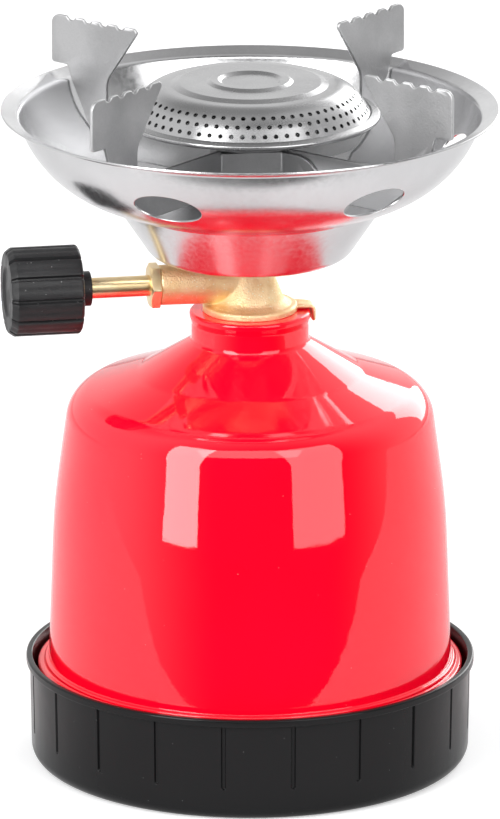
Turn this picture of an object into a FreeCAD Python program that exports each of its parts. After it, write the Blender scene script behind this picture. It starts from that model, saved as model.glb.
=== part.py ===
"""Camping gas stove on a pierceable cartridge, as a parametric assembly of its real pieces.

Millimetres, +Z up. The Z axis runs through the cartridge, the valve and the burner, the origin lies
under the base cup, and the valve spindle points along -X.
"""
import FreeCAD, Part
import math
import os
import re
import Sketcher

# name, size in millimetres, degrees or pieces, and what it measures
SIZES = [
    ("can_radius", 45.0, "cartridge, outside of its bottom seam"),
    ("can_height", 94.0, "cartridge, seam to top"),
    ("can_seam", 4.0, "height of the bottom seam"),
    ("can_seam_slope", 1.0, "height of the slope above the seam"),
    ("can_hollow", 3.0, "hollow of the cartridge's bottom"),
    ("can_ring", 5.0, "ring that the cartridge stands on"),
    ("can_neck_in", 0.7, "how much slimmer the wall is than the seam"),
    ("can_shoulder", 20.0, "round of the cartridge's shoulder"),
    ("can_dome", 6.0, "rise of the cartridge's domed top"),
    ("can_flat", 9.0, "flat in the middle of the cartridge's top"),
    ("can_sheet", 0.5, "sheet of the cartridge"),
    ("pierced_gap", 0.35, "free play between the needle and the pierced hole"),
    ("foot_room", 5.6, "room between the cartridge and the shell's outside at its foot"),
    ("waist_room", 4.4, "the same where the shell's taper grows"),
    ("top_room", 1.9, "the same with the wall carried up to the shoulder's slope"),
    ("waist_rise", 31.0, "height of the waist over the inner ledge"),
    ("wall_round", 120.0, "round of the shell's wall at its waist"),
    ("shoulder_drop", 3.3, "corner of wall and shoulder, under the cartridge's top"),
    ("shoulder_round", 9.0, "round of the shoulder"),
    ("saddle_radius", 28.0, "where the shoulder turns up to the neck"),
    ("saddle_rise", 3.0, "height of that place over the cartridge's top"),
    ("saddle_round", 12.0, "round of that place"),
    ("neck_radius", 14.65, "shell neck, outside"),
    ("neck_foot_rise", 11.2, "where the neck leaves the shoulder, over the cartridge's top"),
    ("neck_foot_round", 1.5, "round at the neck's foot"),
    ("neck_rise", 18.8, "closed top of the neck over the cartridge's top"),
    ("neck_flare", 0.45, "how much the neck's top edge stands out"),
    ("neck_bead", 1.4, "height of that edge"),
    ("neck_bead_slope", 1.6, "height of the flare under it"),
    ("shell_sheet", 0.6, "painted sheet of the shell"),
    ("ledge_drop", 3.0, "outer ledge of the shell's foot, under the cup's rim"),
    ("ledge_rise", 1.4, "step from the outer ledge to the inner one"),
    ("ledge_width", 1.7, "width of the outer ledge"),
    ("ledge_inner", 0.9, "width of the inner ledge"),
    ("skirt_lift", 4.8, "skirt's lower edge over the cup's floor"),
    ("skirt_gap", 0.7, "play between the shell's skirt and the cup's wall"),
    ("cup_draft", 0.4, "how much the cup's wall leans out to its rim"),
    ("cup_height", 26.6, "base cup, foot to rim"),
    ("cup_wall", 1.5, "wall of the base cup"),
    ("cup_floor", 2.0, "floor of the base cup"),
    ("cup_corner", 3.5, "round between the cup's wall and foot"),
    ("band_height", 2.1, "raised band under the cup's rim"),
    ("band_step", 0.9, "how far the band stands out"),
    ("band_slope", 0.3, "height of the band's lower slope"),
    ("foot_recess", 1.2, "hollow under the cup's floor"),
    ("foot_width", 8.0, "ring that the stove stands on"),
    ("foot_slope", 1.0, "width of the slope inside that ring"),
    ("grip_count", 20, "grip grooves round the cup"),
    ("grip_width", 1.0, "width of a grip groove"),
    ("grip_depth", 0.5, "depth of a grip groove"),
    ("grip_foot", 8.2, "lower end of the grip grooves"),
    ("grip_head", 0.4, "upper end of the grip grooves, under the band"),
    ("grip_turn", 1.2, "where the grip grooves start, from the front"),
    ("nest_height", 6.0, "ring that centres the cartridge on the cup's floor"),
    ("nest_wall", 1.4, "wall of that ring"),
    ("nest_gap", 0.6, "free play between the ring and the cartridge"),
    ("seal_radius", 6.8, "rubber seal on the cartridge"),
    ("seal_thick", 4.0, "thickness of that seal"),
    ("seal_recess", 1.0, "how deep the seal sits in the spigot"),
    ("seal_gap", 0.1, "play of the seal in that recess"),
    ("spigot_radius", 7.8, "threaded spigot of the valve body in the neck"),
    ("spigot_gap", 0.4, "play between the spigot and the hole in the neck"),
    ("flange_in", 2.85, "valve body's round flange inside the neck's edge"),
    ("flange_thick", 1.7, "flange of the valve body"),
    ("cone_radius", 8.0, "foot of the valve body's cone"),
    ("cone_foot", 0.4, "height of the cone's foot over the flange"),
    ("cone_top", 4.3, "top of the valve body's cone"),
    ("cone_neck", 2.0, "straight stretch of the cone under the bowl"),
    ("valve_rise", 7.4, "spindle's axis over the neck"),
    ("bowl_rise", 7.2, "bowl's underside over the spindle's axis"),
    ("stem_radius", 3.4, "threaded stem above the cone"),
    ("stem_height", 7.4, "length of that stem"),
    ("passage_radius", 0.9, "gas passage"),
    ("barrel_radius", 5.0, "barrel of the valve body"),
    ("barrel_swell", 0.3, "how much the barrel widens to the middle"),
    ("barrel_length", 23.1, "reach of the barrel from the middle"),
    ("bore_start", 6.5, "inner end of the barrel's bore, from the middle"),
    ("seat_depth", 2.0, "length of the seat's cone"),
    ("gland_step", 0.8, "how much wider the bore is for the gland nut"),
    ("gland_depth", 6.0, "depth of that wider bore"),
    ("gland_flats", 10.2, "gland nut across its flats"),
    ("gland_head", 2.5, "thickness of the gland nut's head"),
    ("gland_bevel", 0.4, "bevel of the gland nut's corners"),
    ("thread_gap", 0.05, "play at a screwed joint"),
    ("lug_width", 6.0, "lug that keeps the valve body from turning"),
    ("lug_thick", 1.2, "thickness of the lug"),
    ("lug_drop", 3.4, "reach of the lug down the neck"),
    ("lug_gap", 0.2, "gap between the lug and the neck"),
    ("lug_step", 0.3, "lug's top under the flange's top"),
    ("shaft_radius", 2.6, "valve spindle"),
    ("shaft_gap", 0.07, "running play of the spindle"),
    ("screw_step", 0.3, "how much thicker the spindle's threaded part is"),
    ("screw_gap", 0.3, "play between that part and the barrel's bore"),
    ("tip_gap", 1.1, "between the spindle's cone tip and the seat's end"),
    ("ring_section", 1.1, "thickness of the O-ring"),
    ("ring_gap", 0.15, "play of the O-ring in the bore"),
    ("ring_seat", 0.05, "play of the O-ring in its groove"),
    ("ring_side", 0.2, "play of the O-ring along its groove"),
    ("ring_inset", 3.2, "O-ring groove behind the gland nut's bore"),
    ("collar_radius", 4.35, "knob's collar"),
    ("collar_length", 2.9, "length of the knob's collar"),
    ("shaft_shown", 14.7, "spindle between the gland nut and the knob"),
    ("knob_radius", 11.15, "knob"),
    ("knob_length", 18.1, "length of the knob without its collar"),
    ("knob_edge", 1.3, "bevel at the knob's ends"),
    ("flute_count", 12, "flutes round the knob"),
    ("flute_width", 1.1, "width of a flute"),
    ("flute_depth", 0.8, "depth of a flute"),
    ("knob_socket", 13.5, "depth of the knob's hole"),
    ("knob_grip", 0.02, "play of the spindle in the knob"),
    ("needle_radius", 1.25, "piercing needle, outside"),
    ("needle_bore", 0.5, "piercing needle, inside"),
    ("needle_reach", 7.0, "how far the needle goes into the cartridge"),
    ("needle_length", 18.5, "whole needle"),
    ("holder_radius", 3.95, "screw that holds the needle, outside"),
    ("holder_length", 9.0, "length of that screw"),
    ("holder_bevel", 0.5, "bevel at its end"),
    ("neck_nut_room", 1.35, "room round the corners of the nut in the neck"),
    ("neck_nut_thick", 4.6, "thickness of that nut"),
    ("washer_room", 1.65, "room round the washer above that nut"),
    ("washer_thick", 0.8, "thickness of that washer"),
    ("jet_radius", 1.95, "jet's threaded part"),
    ("jet_depth", 6.0, "depth of the jet in the stem"),
    ("jet_head", 2.5, "height of the jet above the stem"),
    ("jet_head_in", 0.6, "how much slimmer the jet's head is than the stem"),
    ("jet_hole", 0.3, "hole of the jet"),
    ("bowl_sheet", 0.5, "chromed sheet of the bowl"),
    ("bowl_hole_gap", 0.2, "play of the stem in the bowl"),
    ("well_radius", 25.9, "lower cup of the bowl at its floor"),
    ("well_round", 4.5, "round at the lower cup's floor"),
    ("well_top_radius", 32.2, "lower cup of the bowl at its top"),
    ("well_depth", 13.6, "depth of the lower cup"),
    ("well_crease", 1.8, "round where the lower cup meets the dish"),
    ("rim_radius", 61.8, "outer edge of the bowl's lip"),
    ("rim_rise", 36.9, "height of that edge over the bowl's underside"),
    ("dish_turn_in", 9.3, "where the dish's two slopes would meet, in from the rim"),
    ("dish_turn_drop", 17.2, "height of that place under the rim"),
    ("dish_round", 30.0, "round of the dish"),
    ("lip_width", 4.1, "width of the bowl's lip"),
    ("lip_drop", 1.4, "how much lower the lip's inside is than the rim"),
    ("lip_round", 1.5, "round at the lip's inside"),
    ("air_count", 6, "air holes round the dish"),
    ("air_long", 17.6, "air hole round the dish"),
    ("air_high", 10.9, "air hole up the dish"),
    ("air_in", 10.8, "middle of an air hole, in from the rim"),
    ("air_drop", 13.3, "middle of an air hole, under the rim"),
    ("air_slope", 57.0, "slope of the dish there"),
    ("air_turn", 26.7, "first air hole, from the front"),
    ("air_punch", 8.0, "reach of the punch that cuts an air hole"),
    ("plate", 1.0, "sheet of the pan supports"),
    ("weld_gap", 0.05, "between a support's flange and the next support's arm"),
    ("fold_distance", 8.4, "pan support's folded web from the axis"),
    ("support_turn", -2.9, "how the supports are turned from the front"),
    ("arm_rise", 17.7, "lower edge of a support's arm over the bowl's underside"),
    ("web_rise", 28.1, "upper edge of a support's web"),
    ("arm_top_rise", 28.9, "upper edge of a support's arm"),
    ("arm_in", 20.2, "lower outer corner of the arm, in from the rim"),
    ("arm_heel_in", 10.8, "where the arm's outer edge turns up along the dish"),
    ("arm_heel_rise", 6.8, "height of that place over the arm's lower edge"),
    ("flange_reach", 12.5, "short flange at the web's other end"),
    ("flange_round", 8.0, "round of that flange"),
    ("fin_over", 1.0, "how far a fin stands out over the rim"),
    ("fin_height", 14.8, "pan rest, top of the fins over the rim"),
    ("fin_length", 28.2, "length of a fin's top"),
    ("fin_narrow", 17.6, "width of a fin where it is narrow"),
    ("fin_corner", 2.4, "round of a fin's top outer corner"),
    ("fin_bend", 6.0, "round of a fin's inner edge"),
    ("tab_rise", 2.3, "lower edge of a fin's outer tab over the rim"),
    ("fin_gap", 0.5, "gap between a fin and the dish"),
    ("notch_count", 4, "notches in a fin's top edge"),
    ("notch_radius", 1.25, "round of a notch"),
    ("notch_lift", 0.25, "middle of that round over the fin's top"),
    ("notch_pitch", 5.2, "distance between notches"),
    ("foot_gap", 0.6, "half the gap between the supports' feet"),
    ("tube_radius", 5.5, "burner tube, outside"),
    ("tube_bore", 4.6, "burner tube, inside"),
    ("tube_collar", 6.4, "collar at the burner tube's foot"),
    ("tube_collar_height", 2.6, "height of that collar"),
    ("tube_shoulder", 0.9, "height of the slopes inside and above that collar"),
    ("tube_neck", 5.0, "upper end of the burner tube"),
    ("tube_end", 0.8, "how far the tube stands out of its nut"),
    ("tube_air", 2.5, "radius of the tube's air holes"),
    ("tube_air_rise", 13.4, "tube's air holes over the bowl's underside"),
    ("pan_rise", 29.4, "underside of the burner pan over the bowl's underside"),
    ("pan_floor", 25.0, "flat floor of the burner pan"),
    ("pan_round", 5.0, "round of the burner pan"),
    ("burner_radius", 31.2, "outer edge of the burner"),
    ("pan_depth", 5.3, "underside of the pan's rim over its floor"),
    ("pan_rim_width", 1.6, "width of that rim"),
    ("pan_sheet", 0.6, "sheet of the burner pan and cap"),
    ("pan_hem", 1.0, "height of the pan's turned edge"),
    ("cap_gap", 0.1, "play between the cap and the pan's edge"),
    ("cap_flange", 0.35, "width of the flat edge round the cap"),
    ("cap_height", 8.2, "flat top of the cap over its edge"),
    ("plateau_radius", 17.6, "raised middle of the cap"),
    ("crease_radius", 19.6, "crease round that middle"),
    ("crease_drop", 0.65, "how far the crease lies under the flat top"),
    ("shoulder_radius", 24.0, "where the cap's shoulder turns down"),
    ("cap_round", 8.0, "round of the cap's shoulder"),
    ("band_radius", 27.2, "where the perforated band grows steeper"),
    ("band_rise", 4.4, "height of that place over the cap's edge"),
    ("band_round", 12.0, "round of the band there"),
    ("ring_inner", 7.0, "pressed ring in the cap's top, inside"),
    ("ring_outer", 10.8, "pressed ring in the cap's top, outside"),
    ("ring_flank", 1.0, "width of the ring's slopes"),
    ("ring_height", 0.6, "height of the pressed ring"),
    ("gas_count", 66, "gas holes in each row round the cap"),
    ("gas_hole", 0.58, "radius of a gas hole"),
    ("gas_row_pitch", 2.48, "distance between the rows of gas holes"),
    ("gas_radius", 27.5, "middle row of gas holes from the axis"),
    ("gas_rise", 3.9, "middle row of gas holes over the cap's edge"),
    ("gas_lean", 41.7, "how far the perforated band leans back"),
    ("nut_flats", 14.0, "nut over the burner pan across its flats"),
    ("nut_thick", 2.5, "thickness of that nut"),
]
VALUES = {name: size for name, size, note in SIZES}
VECTOR = FreeCAD.Vector
UPRIGHT = FreeCAD.Rotation(VECTOR(1, 0, 0), 90)

doc = FreeCAD.newDocument("CampingStove")
sheet = doc.addObject("Spreadsheet::Sheet", "Sizes")
for row, (name, size, note) in enumerate(SIZES, start=1):
    sheet.set("A%d" % row, name)
    sheet.set("B%d" % row, str(size))
    sheet.set("C%d" % row, note)
    sheet.setAlias("B%d" % row, name)
doc.recompute()
PARTS = []


def bound(text):
    """A sum of named sizes, as an expression on the sheet."""
    return re.sub(r"[a-z_]+", lambda m: "Sizes." + m.group() if m.group() in VALUES else m.group(), text)


def number(text):
    """The value of a sum of named sizes."""
    return float(sheet.evalExpression(bound(text)))


def place(corner, spot, wanted):
    """Constraints that hold a sketch point at a corner's two measures from the sketch's origin."""
    for kind, axis, text, value in (("DistanceX", -2, corner[0], spot.x), ("DistanceY", -1, corner[1], spot.y)):
        if text == "0":
            yield Sketcher.Constraint("PointOnObject", wanted[0], wanted[1], axis), None
        else:
            yield Sketcher.Constraint(kind, -1, 1, wanted[0], wanted[1], value), text


def draw(sketch, corners, closed=True):
    """Draw an outline of straight runs whose corners are (across, up) or (across, up, round)."""
    spots = [VECTOR(number(corner[0]), number(corner[1]), 0) for corner in corners]
    count = len(corners)
    bends = []
    for i, corner in enumerate(corners):
        if len(corner) == 2:
            bends.append((spots[i], spots[i], None, False))
            continue
        back = (spots[i - 1] - spots[i]).normalize()
        ahead = (spots[(i + 1) % count] - spots[i]).normalize()
        half = back.getAngle(ahead) / 2
        radius = number(corner[2])
        middle = spots[i] + (back + ahead).normalize() * (radius / math.sin(half))
        reach = radius / math.tan(half)
        bends.append((spots[i] + back * reach, spots[i] + ahead * reach, middle, ahead.cross(back).z > 0))
    last = count if closed else count - 1
    runs = [sketch.addGeometry(Part.LineSegment(bends[i][1], bends[(i + 1) % count][0])) for i in range(last)]
    rules = []
    for i, corner in enumerate(corners):
        before = runs[i - 1] if closed or i > 0 else None
        after = runs[i] if i < last else None
        start, end, middle, left_turn = bends[i]
        if middle is None:
            if before is not None and after is not None:
                rules.append((Sketcher.Constraint("Coincident", before, 2, after, 1), None))
            rules.extend(place(corner, spots[i], (after, 1) if after is not None else (before, 2)))
            continue
        angles = [math.atan2(point.y - middle.y, point.x - middle.x) for point in (start, end)]
        circle = Part.Circle(middle, VECTOR(0, 0, 1), number(corner[2]))
        if not left_turn:
            angles.reverse()
        arc = sketch.addGeometry(Part.ArcOfCircle(circle, angles[0], angles[1]))
        first, second = (1, 2) if left_turn else (2, 1)
        mark = sketch.addGeometry(Part.Point(spots[i]), True)
        rules.append((Sketcher.Constraint("Tangent", before, 2, arc, first), None))
        rules.append((Sketcher.Constraint("Tangent", arc, second, after, 1), None))
        rules.append((Sketcher.Constraint("Radius", arc, number(corner[2])), corner[2]))
        rules.append((Sketcher.Constraint("PointOnObject", mark, 1, before), None))
        rules.append((Sketcher.Constraint("PointOnObject", mark, 1, after), None))
        rules.extend(place(corner, spots[i], (mark, 1)))
    bind(sketch, rules)


def bind(sketch, rules):
    """Add constraints to a sketch and tie those that have a text to the sheet."""
    first = sketch.ConstraintCount
    sketch.addConstraint([rule for rule, text in rules])
    for index, (rule, text) in enumerate(rules, start=first):
        if text is not None:
            sketch.setExpression("Constraints[%d]" % index, bound(text))


def ring(sketch, middle, radius):
    """Draw a circle."""
    spot = VECTOR(number(middle[0]), number(middle[1]), 0)
    circle = sketch.addGeometry(Part.Circle(spot, VECTOR(0, 0, 1), number(radius)))
    rules = [(Sketcher.Constraint("Radius", circle, number(radius)), radius)]
    rules.extend(place(middle, spot, (circle, 3)))
    bind(sketch, rules)


def hexagon(sketch, flats):
    """Draw a hexagon with two corners up and down."""
    corner = "%s / 2 / cos(30) * %s(%d)"
    draw(sketch, [(corner % (flats, "cos", turn), corner % (flats, "sin", turn)) for turn in range(30, 390, 60)])


def new_body(label):
    """A sub-part made of sketched features."""
    body = doc.addObject("PartDesign::Body", label)
    PARTS.append(body)
    return body


def sketch_on(body, role, across="0", up="0", lift="0", turn=None):
    """A sketch on one of the body's own planes, shifted in the plane, lifted off it or turned about its upright."""
    sketch = body.newObject("Sketcher::SketchObject", body.Label + "_sketch")
    plane = next(feature for feature in body.Origin.OriginFeatures if feature.Role == role)
    sketch.AttachmentSupport = [(plane, "")]
    sketch.MapMode = "FlatFace"
    if turn is not None:
        sketch.AttachmentOffset = FreeCAD.Placement(VECTOR(), FreeCAD.Rotation(VECTOR(0, 1, 0), number(turn)))
        sketch.setExpression("AttachmentOffset.Rotation.Angle", bound(turn))
    for letter, text in (("x", across), ("y", up), ("z", lift)):
        if text != "0":
            sketch.setExpression("AttachmentOffset.Base." + letter, bound(text))
    return sketch


def revolve(body, sketch, kind="Revolution", axis="V_Axis"):
    """Turn a sketch about one of its axes, to add (Revolution) or to cut (Groove)."""
    feature = body.newObject("PartDesign::" + kind, body.Label + "_" + kind.lower())
    feature.Profile = sketch
    feature.ReferenceAxis = (sketch, [axis])
    feature.Angle = 360
    return feature


def extrude(body, sketch, length, kind="Pad", both_ways=False, backwards=False):
    """Extrude a sketch, to add (Pad) or to cut (Pocket)."""
    feature = body.newObject("PartDesign::" + kind, body.Label + "_" + kind.lower())
    feature.Profile = sketch
    feature.setExpression("Length", bound(length))
    feature.SideType = "Symmetric" if both_ways else "One side"
    feature.Reversed = backwards
    return feature


def repeat_round(body, feature, axis, count):
    """Repeat a feature evenly round an axis."""
    pattern = body.newObject("PartDesign::PolarPattern", body.Label + "_pattern")
    pattern.Originals = [feature]
    pattern.Axis = axis
    pattern.Angle = 360
    pattern.setExpression("Occurrences", bound(count))
    body.Tip = pattern
    return pattern


def drawn_sheet(label, corners, wall):
    """Sheet drawn to a round form: one side's outline, thickened by the sheet and turned about Z."""
    outline = doc.addObject("Sketcher::SketchObject", label + "_outline")
    outline.Placement = FreeCAD.Placement(VECTOR(), UPRIGHT)
    draw(outline, corners, closed=False)
    section = doc.addObject("Part::Offset2D", label + "_section")
    section.Source = outline
    section.Mode = "Skin"
    section.Fill = True
    section.setExpression("Value", bound(wall))
    turned = doc.addObject("Part::Revolution", label + "_turned")
    turned.Source = section
    turned.Axis = VECTOR(0, 0, 1)
    turned.Angle = 360
    turned.Solid = True
    return turned


def finish(feature, label):
    """Name the object that is a whole sub-part."""
    feature.Label = label
    PARTS.append(feature)
    return feature


FLOOR = "(foot_recess + cup_floor)"
CAN_TOP = "(foot_recess + cup_floor + can_height)"
SHELL_FOOT = "(can_radius + foot_room)"
SKIRT = "(can_radius + foot_room + ledge_inner + ledge_width)"
CUP_BODY = "(can_radius + foot_room + ledge_inner + ledge_width + skirt_gap + cup_wall)"
LEDGE = "(cup_height - ledge_drop)"
NECK_TOP = "(foot_recess + cup_floor + can_height + neck_rise)"
NECK_EDGE = "(neck_radius + neck_flare)"
NECK_INSIDE = "(neck_radius - shell_sheet)"
NECK_HOLE = "(spigot_radius + spigot_gap)"
RECESS = "(foot_recess + cup_floor + can_height + seal_thick)"
FLANGE = "(neck_radius - flange_in)"
FLANGE_TOP = "(foot_recess + cup_floor + can_height + neck_rise + flange_thick)"
AXIS = "(foot_recess + cup_floor + can_height + neck_rise + valve_rise)"
BOWL = "(foot_recess + cup_floor + can_height + neck_rise + valve_rise + bowl_rise)"
STEM_TOP = "(%s + stem_height)" % BOWL
NUT_FACE = "(barrel_length + gland_head)"
KNOB_COLLAR = "(barrel_length + gland_head + shaft_shown)"
KNOB_FACE = "(barrel_length + gland_head + shaft_shown + collar_length)"
KNOB_END = "(barrel_length + gland_head + shaft_shown + collar_length + knob_length)"
SCREW = "(shaft_radius + screw_step)"
BORE = "(shaft_radius + screw_step + screw_gap)"
GLAND_BORE = "(shaft_radius + screw_step + screw_gap + gland_step)"
RIM_TOP = "(%s + rim_rise)" % BOWL
PAN = "(%s + pan_rise)" % BOWL
PAN_RIM = "(%s + pan_rise + pan_depth)" % BOWL
CAP_EDGE = "(%s + pan_rise + pan_depth + 2 * pan_sheet)" % BOWL


def own_axis(body, role):
    """One of the body's own axes."""
    return next(feature for feature in body.Origin.OriginFeatures if feature.Role == role)


def upright_outline(body, corners):
    """A closed outline on the body's upright plane."""
    sketch = sketch_on(body, "XZ_Plane")
    draw(sketch, corners)
    return sketch


def spindle_outline(body, corners):
    """A closed outline on the spindle's axis, measured from the middle towards the knob and outwards."""
    sketch = sketch_on(body, "XZ_Plane", up=AXIS)
    draw(sketch, [("-(%s)" % corner[0] if corner[0] != "0" else "0",) + corner[1:] for corner in corners])
    return sketch


def make_base_cup():
    """Moulded cup: a drafted wall with a band at its rim, a recessed floor, a nest ring and grip grooves."""
    body = new_body("base_cup")
    band = "cup_height - band_height"
    inside = CUP_BODY + " - cup_wall"
    nest = "can_radius + nest_gap"
    revolve(body, upright_outline(body, [
        ("0", "foot_recess"),
        (inside + " - foot_width - foot_slope", "foot_recess"),
        (inside + " - foot_width", "0"),
        (CUP_BODY + " - cup_draft", "0", "cup_corner"),
        (CUP_BODY, band, "0.2"),
        (CUP_BODY + " + band_step", band + " + band_slope", "0.3"),
        (CUP_BODY + " + band_step", "cup_height", "0.4"),
        (CUP_BODY + " + band_step - cup_wall", "cup_height", "0.3"),
        (inside, band + " - cup_wall", "0.5"),
        (inside + " - cup_draft", FLOOR, "2"),
        (nest + " + nest_wall", FLOOR, "0.5"),
        (nest + " + nest_wall", FLOOR + " + nest_height"),
        (nest, FLOOR + " + nest_height"),
        (nest, FLOOR),
        ("0", FLOOR),
    ]))
    groove = sketch_on(body, "XZ_Plane", lift=CUP_BODY + " + grip_width")
    half = "grip_width / 2"
    draw(groove, [
        ("-" + half, "grip_foot", "grip_width * 0.4"),
        (half, "grip_foot", "grip_width * 0.4"),
        (half, band + " - grip_head"),
        ("-" + half, band + " - grip_head"),
    ])
    pocket = extrude(body, groove, "grip_width + grip_depth", kind="Pocket")
    repeat_round(body, pocket, (own_axis(body, "Z_Axis"), [""]), "grip_count")
    body.Placement = FreeCAD.Placement(VECTOR(), FreeCAD.Rotation(VECTOR(0, 0, 1), number("grip_turn")))


def make_cartridge():
    """Drawn steel can: a hollow bottom in a seam, a straight wall, a shoulder and a domed, pierced top."""
    wall = "can_radius - can_neck_in"
    finish(drawn_sheet("gas_cartridge", [
        ("0", FLOOR + " + can_hollow"),
        ("can_radius - can_ring - can_hollow", FLOOR + " + can_hollow", "2"),
        ("can_radius - can_ring", FLOOR, "1.5"),
        ("can_radius", FLOOR, "1.5"),
        ("can_radius", FLOOR + " + can_seam", "0.6"),
        (wall, FLOOR + " + can_seam + can_seam_slope", "0.6"),
        (wall, CAN_TOP + " - can_dome", "can_shoulder"),
        ("can_flat", CAN_TOP, "2"),
        ("needle_radius + pierced_gap", CAN_TOP),
    ], "can_sheet"), "gas_cartridge")


def make_shell():
    """Drawn and painted bell: skirt, two ledges, tapered wall, round shoulder, saddle and flared neck."""
    inner_ledge = LEDGE + " + ledge_rise"
    finish(drawn_sheet("shell", [
        (SKIRT, FLOOR + " + skirt_lift"),
        (SKIRT, LEDGE, "1"),
        (SKIRT + " - ledge_width", LEDGE, "0.5"),
        (SKIRT + " - ledge_width", inner_ledge, "0.75"),
        (SHELL_FOOT, inner_ledge, "0.4"),
        ("can_radius + waist_room", inner_ledge + " + waist_rise", "wall_round"),
        ("can_radius + top_room", CAN_TOP + " - shoulder_drop", "shoulder_round"),
        ("saddle_radius", CAN_TOP + " + saddle_rise", "saddle_round"),
        ("neck_radius", CAN_TOP + " + neck_foot_rise", "neck_foot_round"),
        ("neck_radius", NECK_TOP + " - neck_bead - neck_bead_slope", "2"),
        (NECK_EDGE, NECK_TOP + " - neck_bead", "1"),
        (NECK_EDGE, NECK_TOP, "0.7"),
        (NECK_HOLE, NECK_TOP),
    ], "shell_sheet"), "shell")


def make_valve_body():
    """Brass casting: spigot, flange, cone and stem upright, the barrel along -X and the lug along +X."""
    body = new_body("valve_body")
    seal_room = "seal_radius + seal_gap"
    revolve(body, upright_outline(body, [
        ("0", RECESS),
        (seal_room, RECESS),
        (seal_room, RECESS + " - seal_recess"),
        ("spigot_radius", RECESS + " - seal_recess"),
        ("spigot_radius", NECK_TOP),
        (FLANGE, NECK_TOP),
        (FLANGE, FLANGE_TOP, "0.7"),
        ("cone_radius", FLANGE_TOP + " + cone_foot", "2.5"),
        ("cone_top", BOWL + " - cone_neck", "3"),
        ("cone_top", BOWL),
        ("stem_radius", BOWL),
        ("stem_radius", STEM_TOP),
        ("0", STEM_TOP),
    ]))
    revolve(body, spindle_outline(body, [
        ("0", "0"),
        ("0", "barrel_radius + barrel_swell"),
        ("barrel_length", "barrel_radius", "0.4"),
        ("barrel_length", "0"),
    ]), axis="H_Axis")
    lug = sketch_on(body, "XZ_Plane")
    inner = NECK_EDGE + " + lug_gap"
    draw(lug, [
        (FLANGE + " - lug_thick", NECK_TOP),
        (inner, NECK_TOP),
        (inner, NECK_TOP + " - lug_drop"),
        (inner + " + lug_thick", NECK_TOP + " - lug_drop"),
        (inner + " + lug_thick", FLANGE_TOP + " - lug_step", "lug_thick"),
        (FLANGE + " - lug_thick", FLANGE_TOP + " - lug_step"),
    ])
    extrude(body, lug, "lug_width", both_ways=True)
    revolve(body, upright_outline(body, [
        ("0", RECESS),
        ("holder_radius + thread_gap", RECESS),
        ("holder_radius + thread_gap", RECESS + " + holder_length + 1"),
        ("passage_radius", RECESS + " + holder_length + 2.5"),
        ("passage_radius", STEM_TOP + " - jet_depth"),
        ("jet_radius + thread_gap", STEM_TOP + " - jet_depth"),
        ("jet_radius + thread_gap", STEM_TOP),
        ("0", STEM_TOP),
    ]), kind="Groove")
    revolve(body, spindle_outline(body, [
        ("0", "0"),
        ("0", "passage_radius"),
        ("bore_start - seat_depth", "passage_radius"),
        ("bore_start", BORE),
        ("barrel_length - gland_depth", BORE),
        ("barrel_length - gland_depth", GLAND_BORE),
        ("barrel_length", GLAND_BORE),
        ("barrel_length", "0"),
    ]), kind="Groove", axis="H_Axis")


def make_needle_parts():
    """The brass screw in the valve body's foot, the slant-cut steel needle in it and the rubber seal."""
    tip = CAN_TOP + " - needle_reach"
    in_thread = "needle_radius + thread_gap"
    holder = new_body("needle_holder")
    revolve(holder, upright_outline(holder, [
        (in_thread, RECESS),
        ("holder_radius", RECESS),
        ("holder_radius", RECESS + " + holder_length - holder_bevel"),
        ("holder_radius - holder_bevel", RECESS + " + holder_length"),
        (in_thread, RECESS + " + holder_length"),
    ]))
    needle = new_body("piercing_needle")
    revolve(needle, upright_outline(needle, [
        ("needle_bore", tip),
        ("needle_radius", tip),
        ("needle_radius", tip + " + needle_length"),
        ("needle_bore", tip + " + needle_length"),
    ]))
    slant = sketch_on(needle, "XZ_Plane", up=tip)
    beyond = "needle_radius * 2"
    draw(slant, [
        ("-" + beyond, "-" + beyond),
        (beyond, "-" + beyond),
        (beyond, "needle_radius * 6"),
    ])
    extrude(needle, slant, "needle_radius * 4", kind="Pocket", both_ways=True)
    seal = new_body("needle_seal")
    revolve(seal, upright_outline(seal, [
        (in_thread, CAN_TOP),
        ("seal_radius", CAN_TOP, "0.5"),
        ("seal_radius", RECESS),
        (in_thread, RECESS),
    ]))


def make_neck_fasteners():
    """The washer and the hexagon nut that clamp the valve body from inside the neck."""
    under = NECK_TOP + " - shell_sheet"
    washer = new_body("neck_washer")
    disc = sketch_on(washer, "XY_Plane", lift=under + " - washer_thick")
    ring(disc, ("0", "0"), NECK_INSIDE + " - washer_room")
    ring(disc, ("0", "0"), NECK_HOLE)
    extrude(washer, disc, "washer_thick")
    nut = new_body("neck_nut")
    blank = sketch_on(nut, "XY_Plane", lift=under + " - washer_thick - neck_nut_thick")
    hexagon(blank, "(%s - neck_nut_room) * 2 * cos(30)" % NECK_INSIDE)
    ring(blank, ("0", "0"), "spigot_radius + thread_gap")
    extrude(nut, blank, "neck_nut_thick")


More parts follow.
